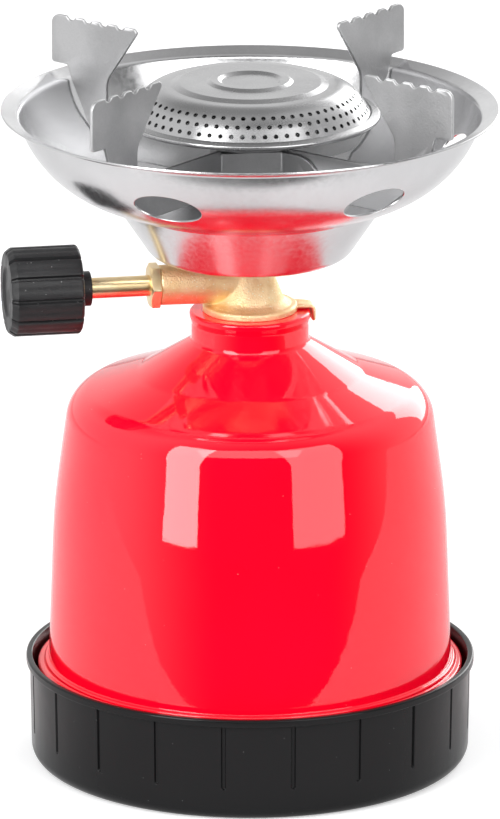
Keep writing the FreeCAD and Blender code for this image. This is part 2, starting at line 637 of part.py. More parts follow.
def make_spindle_parts():
    """Gland nut with bevelled corners, turned spindle with its cone tip and O-ring groove, and the O-ring."""
    nut = new_body("gland_nut")
    head = sketch_on(nut, "YZ_Plane", up=AXIS, lift="-barrel_length")
    hexagon(head, "gland_flats")
    extrude(nut, head, "gland_head", backwards=True)
    revolve(nut, spindle_outline(nut, [
        ("barrel_length - gland_depth + gland_bevel", "0"),
        ("barrel_length - gland_depth + gland_bevel", GLAND_BORE + " - thread_gap"),
        ("barrel_length", GLAND_BORE + " - thread_gap"),
        ("barrel_length", "0"),
    ]), axis="H_Axis")
    revolve(nut, spindle_outline(nut, [
        (NUT_FACE, "gland_flats / 2"),
        (NUT_FACE, "gland_flats"),
        (NUT_FACE + " - gland_bevel", "gland_flats"),
        (NUT_FACE + " - gland_bevel", "gland_flats / 2 / cos(30)"),
    ]), kind="Groove", axis="H_Axis")
    revolve(nut, spindle_outline(nut, [
        ("barrel_length - gland_depth", "0"),
        ("barrel_length - gland_depth", "shaft_radius + shaft_gap"),
        (NUT_FACE + " + gland_bevel", "shaft_radius + shaft_gap"),
        (NUT_FACE + " + gland_bevel", "0"),
    ]), kind="Groove", axis="H_Axis")
    spindle = new_body("valve_spindle")
    groove_start = "barrel_length - gland_depth - ring_inset"
    groove_end = groove_start + " + 2 * ring_side + ring_section"
    groove_floor = BORE + " - ring_gap - ring_section - ring_seat"
    tip = "bore_start - tip_gap"
    revolve(spindle, spindle_outline(spindle, [
        (tip, "0"),
        (tip + " + seat_depth", SCREW),
        (groove_start, SCREW),
        (groove_start, groove_floor),
        (groove_end, groove_floor),
        (groove_end, SCREW),
        ("barrel_length - gland_depth - gland_bevel", SCREW),
        ("barrel_length - gland_depth - gland_bevel", "shaft_radius"),
        (KNOB_COLLAR + " + knob_socket", "shaft_radius", "0.4"),
        (KNOB_COLLAR + " + knob_socket", "0"),
    ]), axis="H_Axis")
    o_ring = new_body("spindle_o_ring")
    section = sketch_on(o_ring, "XZ_Plane", up=AXIS)
    middle = "-(%s + ring_side + ring_section / 2)" % groove_start
    ring(section, (middle, BORE + " - ring_gap - ring_section / 2"), "ring_section / 2")
    revolve(o_ring, section, axis="H_Axis")


def make_knob():
    """Moulded knob: collar, bevelled drum with flutes and a blind hole for the spindle."""
    body = new_body("knob")
    hole = "shaft_radius + knob_grip"
    hole_end = KNOB_COLLAR + " + knob_socket + collar_length / 10"
    revolve(body, spindle_outline(body, [
        (KNOB_COLLAR, hole),
        (KNOB_COLLAR, "collar_radius", "0.3"),
        (KNOB_FACE, "collar_radius"),
        (KNOB_FACE, "knob_radius", "knob_edge"),
        (KNOB_END, "knob_radius", "knob_edge"),
        (KNOB_END, "0"),
        (hole_end, "0"),
        (hole_end, hole),
    ]), axis="H_Axis")
    flute = sketch_on(body, "YZ_Plane", up=AXIS, lift="-(%s) - knob_edge" % KNOB_END)
    outside = "knob_radius + flute_depth / 2"
    draw(flute, [
        ("-flute_width / 2", outside),
        ("-flute_width / 4", "knob_radius - flute_depth"),
        ("flute_width / 4", "knob_radius - flute_depth"),
        ("flute_width / 2", outside),
    ])
    pocket = extrude(body, flute, "knob_length + knob_edge", kind="Pocket", backwards=True)
    repeat_round(body, pocket, (flute, ["N_Axis"]), "flute_count")


def make_jet():
    """Brass jet screwed into the stem, with a round head and a fine hole."""
    body = new_body("jet")
    revolve(body, upright_outline(body, [
        ("jet_hole", STEM_TOP + " - jet_depth"),
        ("jet_radius", STEM_TOP + " - jet_depth"),
        ("jet_radius", STEM_TOP),
        ("stem_radius - jet_head_in", STEM_TOP),
        ("stem_radius - jet_head_in", STEM_TOP + " + jet_head", "0.6"),
        ("jet_hole", STEM_TOP + " + jet_head"),
    ]))


def make_bowl():
    """Drawn dish: floor with a stem hole, lower cup, round dish with oval air holes and an outer lip."""
    dish = drawn_sheet("bowl", [
        ("stem_radius + bowl_hole_gap", BOWL),
        ("well_radius", BOWL, "well_round"),
        ("well_top_radius", BOWL + " + well_depth", "well_crease"),
        ("rim_radius - dish_turn_in", RIM_TOP + " - dish_turn_drop", "dish_round"),
        ("rim_radius - lip_width", RIM_TOP + " - lip_drop", "lip_round"),
        ("rim_radius", RIM_TOP),
    ], "bowl_sheet")
    holes = []
    slope = math.radians(number("air_slope"))
    for index in range(int(number("air_count"))):
        turn = math.radians(-90 + number("air_turn") + index * 360 / number("air_count"))
        around = VECTOR(math.cos(turn), math.sin(turn), 0)
        outward = around * math.sin(slope) - VECTOR(0, 0, math.cos(slope))
        middle = around * number("rim_radius - air_in") + VECTOR(0, 0, number(RIM_TOP + " - air_drop"))
        oval = doc.addObject("Part::Ellipse", "bowl_air_oval")
        oval.setExpression("MajorRadius", bound("air_long / 2"))
        oval.setExpression("MinorRadius", bound("air_high / 2"))
        along = VECTOR(-math.sin(turn), math.cos(turn), 0)
        oval.Placement = FreeCAD.Placement(
            middle - outward * (number("air_punch") / 2),
            FreeCAD.Rotation(along, outward.cross(along), outward, "ZXY"))
        punch = doc.addObject("Part::Extrusion", "bowl_air_punch")
        punch.Base = oval
        punch.DirMode = "Custom"
        punch.Dir = outward
        punch.LengthFwd = number("air_punch")
        punch.Solid = True
        holes.append(punch)
    punches = doc.addObject("Part::Compound", "bowl_air_punches")
    punches.Links = holes
    bowl = doc.addObject("Part::Cut", "bowl_cut")
    bowl.Base = dish
    bowl.Tool = punches
    finish(bowl, "bowl")


def make_support(label, quarter):
    """Folded sheet: a web with a foot under the burner tube, one arm with its fin and one short flange.

    Four of them stand in a square round the burner tube, each flange against the next one's arm.
    """
    body = new_body(label)
    foot_height = BOWL + " + bowl_sheet"
    offset = "(plate + weld_gap)"
    web_end = "fold_distance - %s / sin(45)" % offset
    web = sketch_on(body, "XZ_Plane", lift="fold_distance")
    draw(web, [
        ("-fold_distance", foot_height),
        (web_end, foot_height),
        (web_end, BOWL + " + web_rise"),
        ("-fold_distance", BOWL + " + web_rise"),
    ])
    extrude(body, web, "plate", both_ways=True)
    foot = sketch_on(body, "XY_Plane", lift=foot_height)
    draw(foot, [
        ("foot_gap - fold_distance", "-fold_distance"),
        (web_end, "-fold_distance"),
        ("foot_gap", "-2 * foot_gap"),
        ("-foot_gap", "-2 * foot_gap"),
    ])
    extrude(body, foot, "plate")
    hole = sketch_on(body, "XY_Plane", lift=foot_height + " + 2 * plate")
    ring(hole, ("0", "0"), "stem_radius + bowl_hole_gap")
    extrude(body, hole, "3 * plate", kind="Pocket")
    for across in ("-fold_distance", web_end):
        fold = sketch_on(body, "XY_Plane", lift=BOWL + " + arm_rise")
        ring(fold, (across, "-fold_distance"), "plate / 2")
        extrude(body, fold, "web_rise - arm_rise")
    flange = sketch_on(
        body, "XZ_Plane", across="-%s * sin(45)" % offset, lift=offset + " * sin(45)", turn="-45")
    start = "fold_distance / cos(45) - " + offset
    draw(flange, [
        (start, BOWL + " + arm_rise"),
        (start + " + flange_reach", BOWL + " + arm_rise", "0.5"),
        (start + " + flange_reach", BOWL + " + web_rise", "flange_round"),
        (start, BOWL + " + web_rise"),
    ])
    extrude(body, flange, "plate", both_ways=True)
    arm = sketch_on(body, "XZ_Plane", turn="-135")
    dish_edge = "rim_radius - lip_width - bowl_sheet - fin_gap"
    fin_outer = "rim_radius + fin_over"
    fin_top = RIM_TOP + " + fin_height"
    draw(arm, [
        ("fold_distance / cos(45)", BOWL + " + arm_rise"),
        ("rim_radius - arm_in", BOWL + " + arm_rise", "1"),
        ("rim_radius - arm_heel_in", BOWL + " + arm_rise + arm_heel_rise", "8"),
        (dish_edge + " - 0.2", RIM_TOP + " - lip_drop", "2"),
        (dish_edge + " + fin_gap", RIM_TOP + " + tab_rise", "1"),
        (fin_outer, RIM_TOP + " + tab_rise", "0.8"),
        (fin_outer, fin_top, "fin_corner"),
        (fin_outer + " - fin_length", fin_top, "0.8"),
        (fin_outer + " - fin_narrow", RIM_TOP, "fin_bend"),
        (fin_outer + " - fin_narrow", BOWL + " + arm_top_rise", "1.5"),
        ("fold_distance / cos(45)", BOWL + " + arm_top_rise"),
    ])
    extrude(body, arm, "plate", both_ways=True)
    notch = sketch_on(body, "XZ_Plane", turn="-135")
    row_length = "notch_pitch * (notch_count - 1)"
    first = "%s - fin_length / 2 - %s / 2" % (fin_outer, row_length)
    ring(notch, (first, fin_top + " + notch_lift"), "notch_radius")
    pocket = extrude(body, notch, "plate * 3", kind="Pocket", both_ways=True)
    row = body.newObject("PartDesign::LinearPattern", label + "_row")
    row.Originals = [pocket]
    row.Direction = (notch, ["H_Axis"])
    row.setExpression("Length", bound(row_length))
    row.setExpression("Occurrences", bound("notch_count"))
    body.Tip = row
    turned = FreeCAD.Rotation(VECTOR(0, 0, 1), number("support_turn") + quarter * 90)
    body.Placement = FreeCAD.Placement(VECTOR(), turned)


def make_burner_tube():
    """Mixing tube with a collar that clamps the supports, two pairs of air holes and a nut on its end."""
    foot = BOWL + " + bowl_sheet + plate"
    collar = foot + " + tube_collar_height"
    end = PAN + " + pan_sheet + nut_thick + tube_end"
    tube = new_body("burner_tube")
    revolve(tube, upright_outline(tube, [
        ("stem_radius + thread_gap", foot),
        ("tube_collar", foot),
        ("tube_collar", collar),
        ("tube_radius", collar + " + tube_shoulder"),
        ("tube_radius", PAN),
        ("tube_neck", PAN),
        ("tube_neck", end),
        ("tube_bore", end),
        ("tube_bore", STEM_TOP + " - tube_shoulder"),
        ("stem_radius + thread_gap", STEM_TOP + " - 2 * tube_shoulder"),
    ]))
    for turn in ("45", "-45"):
        air = sketch_on(tube, "XZ_Plane", turn=turn)
        ring(air, ("0", BOWL + " + tube_air_rise"), "tube_air")
        extrude(tube, air, "tube_radius * 3", kind="Pocket", both_ways=True)
    nut = new_body("tube_nut")
    blank = sketch_on(nut, "XY_Plane", lift=PAN + " + pan_sheet")
    hexagon(blank, "nut_flats")
    ring(blank, ("0", "0"), "tube_neck + thread_gap")
    extrude(nut, blank, "nut_thick")


def make_burner_head():
    """Pan with its turned edge, and the pressed cap with three staggered rows of gas holes."""
    finish(drawn_sheet("burner_pan", [
        ("tube_neck + cap_gap", PAN),
        ("pan_floor", PAN, "pan_round"),
        ("burner_radius - pan_rim_width", PAN_RIM, "1.2"),
        ("burner_radius", PAN_RIM, "0.7"),
        ("burner_radius", PAN_RIM + " + pan_sheet + pan_hem"),
    ], "pan_sheet"), "burner_pan")
    top = CAP_EDGE + " + cap_height"
    crease = top + " - crease_drop"
    edge = "burner_radius - pan_sheet - cap_gap"
    form = drawn_sheet("burner_cap", [
        ("0", top),
        ("ring_inner", top, "0.5"),
        ("ring_inner + ring_flank", top + " + ring_height", "0.6"),
        ("ring_outer - ring_flank", top + " + ring_height", "0.6"),
        ("ring_outer", top, "0.5"),
        ("plateau_radius", top, "1.5"),
        ("crease_radius", crease, "0.5"),
        ("shoulder_radius", crease + " - 0.2", "cap_round"),
        ("band_radius", CAP_EDGE + " + band_rise", "band_round"),
        (edge + " - cap_flange", CAP_EDGE, "0.3"),
        (edge, CAP_EDGE),
    ], "-pan_sheet")
    body = new_body("burner_cap")
    body.BaseFeature = form
    rows = sketch_on(body, "XZ_Plane", up=CAP_EDGE + " + gas_rise", lift="gas_radius")
    rows.setExpression("AttachmentOffset.Rotation.Axis.x", "1")
    rows.setExpression("AttachmentOffset.Rotation.Axis.y", "0")
    rows.setExpression("AttachmentOffset.Rotation.Axis.z", "0")
    rows.setExpression("AttachmentOffset.Rotation.Angle", bound("-gas_lean"))
    half_pitch = "gas_radius * tan(180 / gas_count)"
    for across, up in (("0", "gas_row_pitch"), (half_pitch, "0"), ("0", "-gas_row_pitch")):
        ring(rows, (across, up), "gas_hole")
    pocket = extrude(body, rows, "3 * pan_sheet", kind="Pocket", both_ways=True)
    repeat_round(body, pocket, (own_axis(body, "Z_Axis"), [""]), "gas_count")


def check_and_write():
    """Stop on a failed object or a bad shape, then write each sub-part's file."""
    doc.recompute()
    for item in doc.Objects:
        if "Invalid" in item.State or "Error" in item.State:
            raise RuntimeError("%s failed: %s" % (item.Label, item.State))
    os.makedirs("parts", exist_ok=True)
    for item in PARTS:
        shape = item.Shape
        if shape.isNull() or not shape.isValid() or not shape.Solids:
            raise RuntimeError("%s has no valid shape" % item.Label)
        print("%-18s %d solid(s) %10.1f mm3" % (item.Label, len(shape.Solids), shape.Volume))
    for item in PARTS:
        item.Shape.exportStep("parts/%s.step" % item.Label)


make_base_cup()
make_cartridge()
make_shell()
make_valve_body()
make_needle_parts()
make_neck_fasteners()
make_spindle_parts()
make_knob()
make_jet()
make_bowl()
for quarter, side in enumerate(("front", "right", "back", "left")):
    make_support("support_" + side, quarter)
make_burner_tube()
make_burner_head()
check_and_write()
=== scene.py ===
import math
import bmesh
import bpy
import numpy as np
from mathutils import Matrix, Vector


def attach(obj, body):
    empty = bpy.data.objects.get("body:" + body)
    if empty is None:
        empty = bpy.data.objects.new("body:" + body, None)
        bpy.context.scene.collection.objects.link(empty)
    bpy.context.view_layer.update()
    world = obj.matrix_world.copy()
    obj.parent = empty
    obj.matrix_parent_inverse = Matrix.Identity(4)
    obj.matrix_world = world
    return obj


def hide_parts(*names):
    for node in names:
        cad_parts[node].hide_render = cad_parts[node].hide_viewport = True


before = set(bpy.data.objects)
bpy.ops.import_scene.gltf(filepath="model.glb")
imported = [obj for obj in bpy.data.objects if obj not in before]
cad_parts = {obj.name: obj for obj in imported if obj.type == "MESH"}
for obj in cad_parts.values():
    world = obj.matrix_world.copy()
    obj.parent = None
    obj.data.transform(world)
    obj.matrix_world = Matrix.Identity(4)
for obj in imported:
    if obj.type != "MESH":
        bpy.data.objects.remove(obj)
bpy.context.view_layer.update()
mm = 0.001

# The stage: a plain pale floor under soft lamps, seen from a little above and from the knob's side.
# The lens is long, as for a packshot, and the line of sight meets the stove's upright axis.
camera_turn = math.radians(-10.0)
camera_reach = 2.3859
camera_height = 0.8048
aim_height = 0.0899
film_width = 36.0
focal_pixels, picture_pixels = 9967.6, 819
camera_data = bpy.data.cameras.new("camera")
camera = bpy.data.objects.new("camera", camera_data)
bpy.context.scene.collection.objects.link(camera)
camera_data.sensor_width = film_width
camera_data.lens = film_width * focal_pixels / picture_pixels
camera.location = (math.sin(camera_turn) * camera_reach, -math.cos(camera_turn) * camera_reach, camera_height)
line_of_sight = Vector((0, 0, aim_height)) - camera.location
camera.rotation_euler = line_of_sight.to_track_quat("-Z", "Y").to_euler()
bpy.context.scene.camera = camera
bpy.context.scene.view_settings.view_transform = "Standard"


def new_object(name, points, faces):
    """An object at the origin whose mesh has these points, in metres, and faces."""
    mesh = bpy.data.meshes.new(name)
    mesh.from_pydata(np.asarray(points, float).tolist(), [], [list(map(int, face)) for face in faces])
    made = bpy.data.objects.new(name, mesh)
    bpy.context.scene.collection.objects.link(made)
    return made


def node(tree, kind, inputs=None, **settings):
    """A shader node with its settings, its inputs given as numbers or as the sockets that feed them."""
    made = tree.nodes.new("ShaderNode" + kind)
    for key, value in settings.items():
        setattr(made, key, value)
    for key, value in (inputs or {}).items():
        if isinstance(value, bpy.types.NodeSocket):
            tree.links.new(value, made.inputs[key])
        else:
            made.inputs[key].default_value = value
    return made


def new_material(name, **constants):
    """A material and its node tree, with constants set on the Principled shader by socket name."""
    made = bpy.data.materials.new(name)
    made.use_nodes = True
    shader = made.node_tree.nodes["Principled BSDF"]
    for key, value in constants.items():
        shader.inputs[key.replace("_", " ")].default_value = value
    return made, made.node_tree, shader


def all_round(count):
    """Even turns once round, in radians."""
    return np.linspace(0, 2 * math.pi, count, endpoint=False)


def kinds_of_ray(tree):
    """Masks for what the camera sees itself and for what it sees mirrored or through a surface."""
    rays = node(tree, "LightPath").outputs
    turned = {0: rays["Is Glossy Ray"], 1: rays["Is Transmission Ray"]}
    return rays["Is Camera Ray"], node(tree, "Math", turned, operation="MAXIMUM").outputs[0]


# The floor's own glow keeps it pale under the lamps, and what the stove mirrors of it is dimmer.
floor_radius = 3.0
floor_front = 0.15
floor_corners = 96
floor_grey = (0.68, 0.68, 0.685, 1)
floor_glow, mirrored_glow = 0.45, 0.2
rim = all_round(floor_corners)
floor_middle = (floor_radius - floor_front) * np.array([-math.sin(camera_turn), math.cos(camera_turn)])
floor_edge = np.stack([floor_middle[0] + floor_radius * np.cos(rim),
                       floor_middle[1] + floor_radius * np.sin(rim), 0 * rim], -1)
floor = new_object("floor", floor_edge, [range(floor_corners)])
floor_paint, tree, shader = new_material("floor_paint", Roughness=0.9, Specular_IOR_Level=0.1)
shader.inputs["Base Color"].default_value = floor_grey
shader.inputs["Emission Color"].default_value = (1, 1, 1, 1)
seen, mirrored = kinds_of_ray(tree)
dim = node(tree, "Math", {0: mirrored, 1: mirrored_glow}, operation="MULTIPLY").outputs[0]
lift = node(tree, "Math", {0: seen, 1: floor_glow, 2: dim}, operation="MULTIPLY_ADD")
tree.links.new(lift.outputs[0], shader.inputs["Emission Strength"])
floor.data.materials.append(floor_paint)


def eased(tree, value, start, end, low, high):
    """A number that eases from low to high while the value goes from start to end."""
    return node(tree, "MapRange", {0: value, 1: start, 2: end, 3: low, 4: high},
                interpolation_type="SMOOTHSTEP").outputs[0]


def nearness(tree, bearing, middle):
    """The cosine of the angle between a bearing and a chosen direction."""
    return node(tree, "VectorMath", {0: bearing, 1: middle}, operation="DOT_PRODUCT").outputs["Value"]


# The room is white all round, but dark on the camera's side and dimmer at a patch high behind the stove,
# for the chrome and the enamel to mirror. The camera itself sees plain white.
dark_middle = (math.sin(math.radians(5)), -math.cos(math.radians(5)), 0.06)
dark_core, dark_edge, darkest = 0.84, -0.2, 0.02
dim_middle = (math.sin(camera_turn) * 0.47, math.cos(camera_turn) * 0.47, 0.883)
dim_edge, dim_core, dimmest = 0.74, 0.98, 0.38
room_light = 0.95
world = bpy.data.worlds.new("studio")
bpy.context.scene.world = world
world.use_nodes = True
tree = world.node_tree
backdrop = tree.nodes["Background"]
backdrop.inputs["Color"].default_value = (1, 1, 1, 1)
bearing = node(tree, "TexCoord").outputs["Generated"]
walls = eased(tree, nearness(tree, bearing, dark_middle), dark_core, dark_edge, darkest, 1.0)
ceiling = eased(tree, nearness(tree, bearing, dim_middle), dim_edge, dim_core, 1.0, dimmest)
room = node(tree, "Math", {0: walls, 1: ceiling}, operation="MULTIPLY").outputs[0]
plain = node(tree, "Math", {0: room, 1: room_light}, operation="MULTIPLY").outputs[0]
seen, mirrored = kinds_of_ray(tree)
lit = node(tree, "Mix", {"Factor": mirrored, "A": plain, "B": room}).outputs[0]
shown = node(tree, "Mix", {"Factor": seen, "A": lit, "B": 1.0})
tree.links.new(shown.outputs[0], backdrop.inputs["Strength"])

lamp_reach = 1.6
lamp_aim = Vector((0, 0, 0.1))


def softbox(name, azimuth, elevation, width, height, strength):
    """A rectangular lamp at a bearing from the line of sight, turned to face the stove."""
    lamp = bpy.data.lights.new(name, "AREA")
    lamp.shape = "RECTANGLE"
    lamp.size = width
    lamp.size_y = height
    lamp.energy = strength * width * height
    made = bpy.data.objects.new(name, lamp)
    bpy.context.scene.collection.objects.link(made)
    turn, rise = math.radians(azimuth) + camera_turn, math.radians(elevation)
    back = Vector((math.sin(turn) * math.cos(rise), -math.cos(turn) * math.cos(rise), math.sin(rise)))
    made.location = lamp_aim + back * lamp_reach
    made.rotation_euler = (-back).to_track_quat("-Z", "Y").to_euler()
    return made


softbox("lamp_left", azimuth=-41, elevation=21, width=0.66, height=1.7, strength=22)
softbox("lamp_right", azimuth=41, elevation=21, width=1.0, height=1.7, strength=9)
softbox("lamp_back", azimuth=150, elevation=18, width=0.9, height=0.9, strength=14)
softbox("lamp_over", azimuth=0, elevation=39, width=1.7, height=0.66, strength=7.0)

# Base cup: one moulding of glossy black plastic, screwed under the bell, with a band at its rim and 20
# shallow grooves for the fingers. Its wall narrows a little towards the ground.
cup_rim, cup_draft = 55.4, 0.4
band_foot = 24.5
groove_count = 20
groove_foot, groove_head = 8.2, 24.1
groove_width, groove_depth, groove_round = 1.0, 0.5, 0.24
first_groove = math.radians(1.2 - 90)


def rounded(corners, step=4.0):
    """Points along straight runs in (across, up).

    A corner (across, up, radius) becomes the arc of that radius tangent to both runs, with a point about
    every step degrees: middle + turn(k / n) * (start - middle). A corner without a radius stays sharp.
    """
    spots = np.array([corner[:2] for corner in corners], float)
    runs = []
    for i, corner in enumerate(corners):
        if len(corner) == 2:
            runs.append(spots[i][None])
            continue
        back = spots[i - 1] - spots[i]
        ahead = spots[(i + 1) % len(corners)] - spots[i]
        back /= np.linalg.norm(back)
        ahead /= np.linalg.norm(ahead)
        half = math.acos(np.clip(back @ ahead, -1, 1)) / 2
        middle = spots[i] + (back + ahead) / np.linalg.norm(back + ahead) * corner[2] / math.sin(half)
        arm = spots[i] + back * corner[2] / math.tan(half) - middle
        sense = math.copysign(1, back[1] * ahead[0] - back[0] * ahead[1])
        turns = np.linspace(0, 1, max(2, math.ceil((180 - 2 * math.degrees(half)) / step)) + 1)
        turns = turns * sense * (math.pi - 2 * half)
        runs.append(middle + np.stack([arm[0] * np.cos(turns) - arm[1] * np.sin(turns),
                                       arm[0] * np.sin(turns) + arm[1] * np.cos(turns)], -1))
    return np.concatenate(runs)


def round_z(outline, turns, radii=None):
    """A grid of points turned about Z: (r cos t, r sin t, z), where radii may give r for each turn."""
    radii = np.broadcast_to(outline[:, 0], (len(turns), len(outline))) if radii is None else radii
    turns = turns[:, None]
    height = np.broadcast_to(outline[:, 1], radii.shape)
    return np.stack([radii * np.cos(turns), radii * np.sin(turns), height], -1)


def smooth(made, angle=35):
    """Close seams and poles, turn the faces outward and shade smooth between sharp edges."""
    work = bmesh.new()
    work.from_mesh(made.data)
    bmesh.ops.remove_doubles(work, verts=work.verts, dist=2e-6)
    bmesh.ops.recalc_face_normals(work, faces=work.faces)
    work.to_mesh(made.data)
    work.free()
    made.data.polygons.foreach_set("use_smooth", [True] * len(made.data.polygons))
    made.data.set_sharp_from_angle(angle=math.radians(angle))
    return made


def cells(rows, columns, loop=False):
    """Faces of a grid that is closed round its rows, and along its columns where loop is set."""
    i = np.arange(rows)[:, None]
    j = np.arange(columns if loop else columns - 1)[None, :]
    after_i, after_j = (i + 1) % rows, (j + 1) % columns
    return np.stack([i * columns + j, after_i * columns + j, after_i * columns + after_j,
                     i * columns + after_j], -1).reshape(-1, 4)


def skin(name, grid, loop=False, angle=35):
    """A smooth closed piece through a grid of points in millimetres."""
    return smooth(new_object(name, grid.reshape(-1, 3) * mm, cells(*grid.shape[:2], loop)), angle)


wall_heights = np.r_[np.arange(7.2, 10.4, 0.16), np.arange(11.0, 23.2, 1.2), np.arange(23.5, 24.4, 0.1)]
cup_wall = [(cup_rim - cup_draft * (1 - z / band_foot), z) for z in wall_heights]
cup_outline = rounded([(0, 1.2), (44.9, 1.2), (45.9, 0), (55.0, 0, 3.5), *cup_wall, (cup_rim, band_foot, 0.1),
                       (56.3, 24.8, 0.3), (56.3, 26.6, 0.5), (54.8, 26.6, 0.4), (53.9, 23.0, 0.5),
                       (53.5, 3.2, 2), (47.0, 3.2, 0.5), (47.0, 9.2), (45.6, 9.2), (45.6, 3.2), (0, 3.2)], 6)
pitch = 2 * math.pi / groove_count
fine = np.arange(-0.84, 0.85, 0.12) / cup_rim
coarse = np.linspace(0.9 / cup_rim, pitch - 0.9 / cup_rim, 7)
turns = (np.arange(groove_count)[:, None] * pitch + np.r_[fine, coarse]).ravel()
across = ((turns + pitch / 2) % pitch - pitch / 2)[:, None] * cup_rim
beyond = np.maximum(groove_foot + groove_width / 2 - cup_outline[:, 1], 0)
beyond += np.maximum(cup_outline[:, 1] - groove_head, 0)
inward = groove_width / 2 - np.hypot(across, beyond[None])
share = np.clip((inward + 0.1) / groove_round, 0, 1)
dip = groove_depth * share ** 2 * (3 - 2 * share)
on_wall = (cup_outline[:, 0] > 54.7) & (cup_outline[:, 1] < 24.45)
cup_radii = cup_outline[:, 0] - np.where(on_wall, dip, 0)
cup = skin("cup_moulding", round_z(cup_outline, turns + first_groove, cup_radii))


def shared_group(name, inputs):
    """A shader node group with float inputs and one Value output."""
    group = bpy.data.node_groups.new(name, "ShaderNodeTree")
    for key, value in inputs.items():
        group.interface.new_socket(key, in_out="INPUT", socket_type="NodeSocketFloat").default_value = value
    group.interface.new_socket("Value", in_out="OUTPUT", socket_type="NodeSocketFloat")
    entry = group.nodes.new("NodeGroupInput")
    leave = group.nodes.new("NodeGroupOutput")
    place = node(group, "TexCoord").outputs["Object"]
    return group, entry.outputs, place, leave.inputs["Value"]


# Effects that several surfaces share: cloudy unevenness and loose specks, as of dust.
uneven, given, place, leave = shared_group("uneven", {"Scale": 100.0, "Low": 0.4, "High": 0.6})
cloud = node(uneven, "TexNoise", {"Vector": place, "Scale": given["Scale"], "Detail": 3.0})
spread = node(uneven, "MapRange", {0: cloud.outputs["Fac"], 1: given["Low"], 2: given["High"]})
uneven.links.new(spread.outputs[0], leave)
specks, given, place, leave = shared_group("specks", {"Scale": 1200.0, "Size": 0.12, "Share": 0.86})
dots = node(specks, "TexVoronoi", {"Vector": place, "Scale": given["Scale"]})
near = node(specks, "Math", {0: dots.outputs["Distance"], 1: given["Size"]}, operation="LESS_THAN")
chance = node(specks, "SeparateColor", {0: dots.outputs["Color"]})
chosen = node(specks, "Math", {0: chance.outputs[0], 1: given["Share"]}, operation="GREATER_THAN")
both = node(specks, "Math", {0: near.outputs[0], 1: chosen.outputs[0]}, operation="MULTIPLY")
specks.links.new(both.outputs[0], leave)


def effect(tree, group, **values):
    """The value of one of the shared effects, used in a material's tree."""
    made = node(tree, "Group", node_tree=group)
    for key, value in values.items():
        made.inputs[key].default_value = value
    return made.outputs["Value"]


def blend_colour(tree, share, first, second):
    """A colour between two colours by a share."""
    mix = node(tree, "Mix", {"Factor": share}, data_type="RGBA")
    for socket, colour in ((6, first), (7, second)):
        if isinstance(colour, bpy.types.NodeSocket):
            tree.links.new(colour, mix.inputs[socket])
        else:
            mix.inputs[socket].default_value = (*colour, 1)
    return mix.outputs[2]


def between(tree, share, low, high):
    """A number between two numbers by a share."""
    return node(tree, "MapRange", {0: share, 1: 0.0, 2: 1.0, 3: low, 4: high}).outputs[0]


def bump(tree, height, distance, strength=1.0, under=None):
    """A bump of some depth in metres, on top of another bump where one is given."""
    made = node(tree, "Bump", {"Height": height, "Distance": distance, "Strength": strength})
    if under is not None:
        tree.links.new(under, made.inputs["Normal"])
    return made.outputs["Normal"]


def feed(tree, shader, **sources):
    """Link sources to the Principled shader's inputs by socket name."""
    for key, source in sources.items():
        tree.links.new(source, shader.inputs[key.replace("_", " ")])


def dress(piece, body, slot, material, *nodes):
    """Give a piece its material and body, and let it stand for its CAD nodes. The slot is not used."""
    piece.data.materials.clear()
    piece.data.materials.append(material)
    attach(piece, body)
    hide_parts(*nodes)
    return piece


cup_colour, cup_dust = (0.008, 0.008, 0.0085), (0.10, 0.10, 0.10)
cup_plastic, tree, shader = new_material("cup_plastic", Specular_IOR_Level=0.18)
dust = effect(tree, specks, Scale=900, Size=0.10, Share=0.93)
haze = effect(tree, uneven, Scale=60)
feed(tree, shader,
     Base_Color=blend_colour(tree, dust, cup_colour, cup_dust),
     Roughness=between(tree, haze, 0.17, 0.26),
     Normal=bump(tree, effect(tree, uneven, Scale=140), 0.00003, 0.5))
dress(cup, "base", "cup_black", cup_plastic, "base_cup")

# Gas cartridge: a drawn steel can with a pale lacquer, hidden in the bell, standing in the cup's nest.
can_grey, can_pale = (0.50, 0.52, 0.56), (0.58, 0.60, 0.63)


def coat(name, material):
    """Give a CAD node that keeps its own form a material."""
    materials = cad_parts[name].data.materials
    materials.clear()
    materials.append(material)


can_lacquer, tree, shader = new_material("can_lacquer", Coat_Weight=0.3)
haze = effect(tree, uneven, Scale=35)
feed(tree, shader,
     Base_Color=blend_colour(tree, haze, can_grey, can_pale),
     Roughness=between(tree, haze, 0.24, 0.36))
coat("gas_cartridge", can_lacquer)

# Bell: drawn steel, 0.6 mm thick, in thick glossy red enamel. Its foot steps down into the cup over two
# ledges, and its neck flares to a bead that is turned in over the valve's washer.
bell_sheet = 0.6


def thickened(line, wall):
    """A sheet's closed outline: an open line and its copy moved by the wall to its left.

    Each point moves along the mean of its two runs' normals by wall / cos(half the bend), and copies that
    come nearer to the line than the wall, inside tight bends, are left out.
    """
    along = np.diff(line, axis=0)
    along /= np.linalg.norm(along, axis=1)[:, None]
    normal = np.stack([-along[:, 1], along[:, 0]], -1)
    before = np.vstack([normal[:1], normal])
    after = np.vstack([normal, normal[-1:]])
    mean = before + after
    mean /= np.linalg.norm(mean, axis=1)[:, None]
    copy = line + mean * (wall / (mean * before).sum(1))[:, None]
    start, run = line[:-1], np.diff(line, axis=0)
    reach = copy[:, None] - start[None]
    share = np.clip((reach * run).sum(2) / (run * run).sum(1), 0, 1)
    gap = np.linalg.norm(reach - share[..., None] * run, axis=2).min(1)
    return np.vstack([line, copy[gap > abs(wall) * 0.98][::-1]])


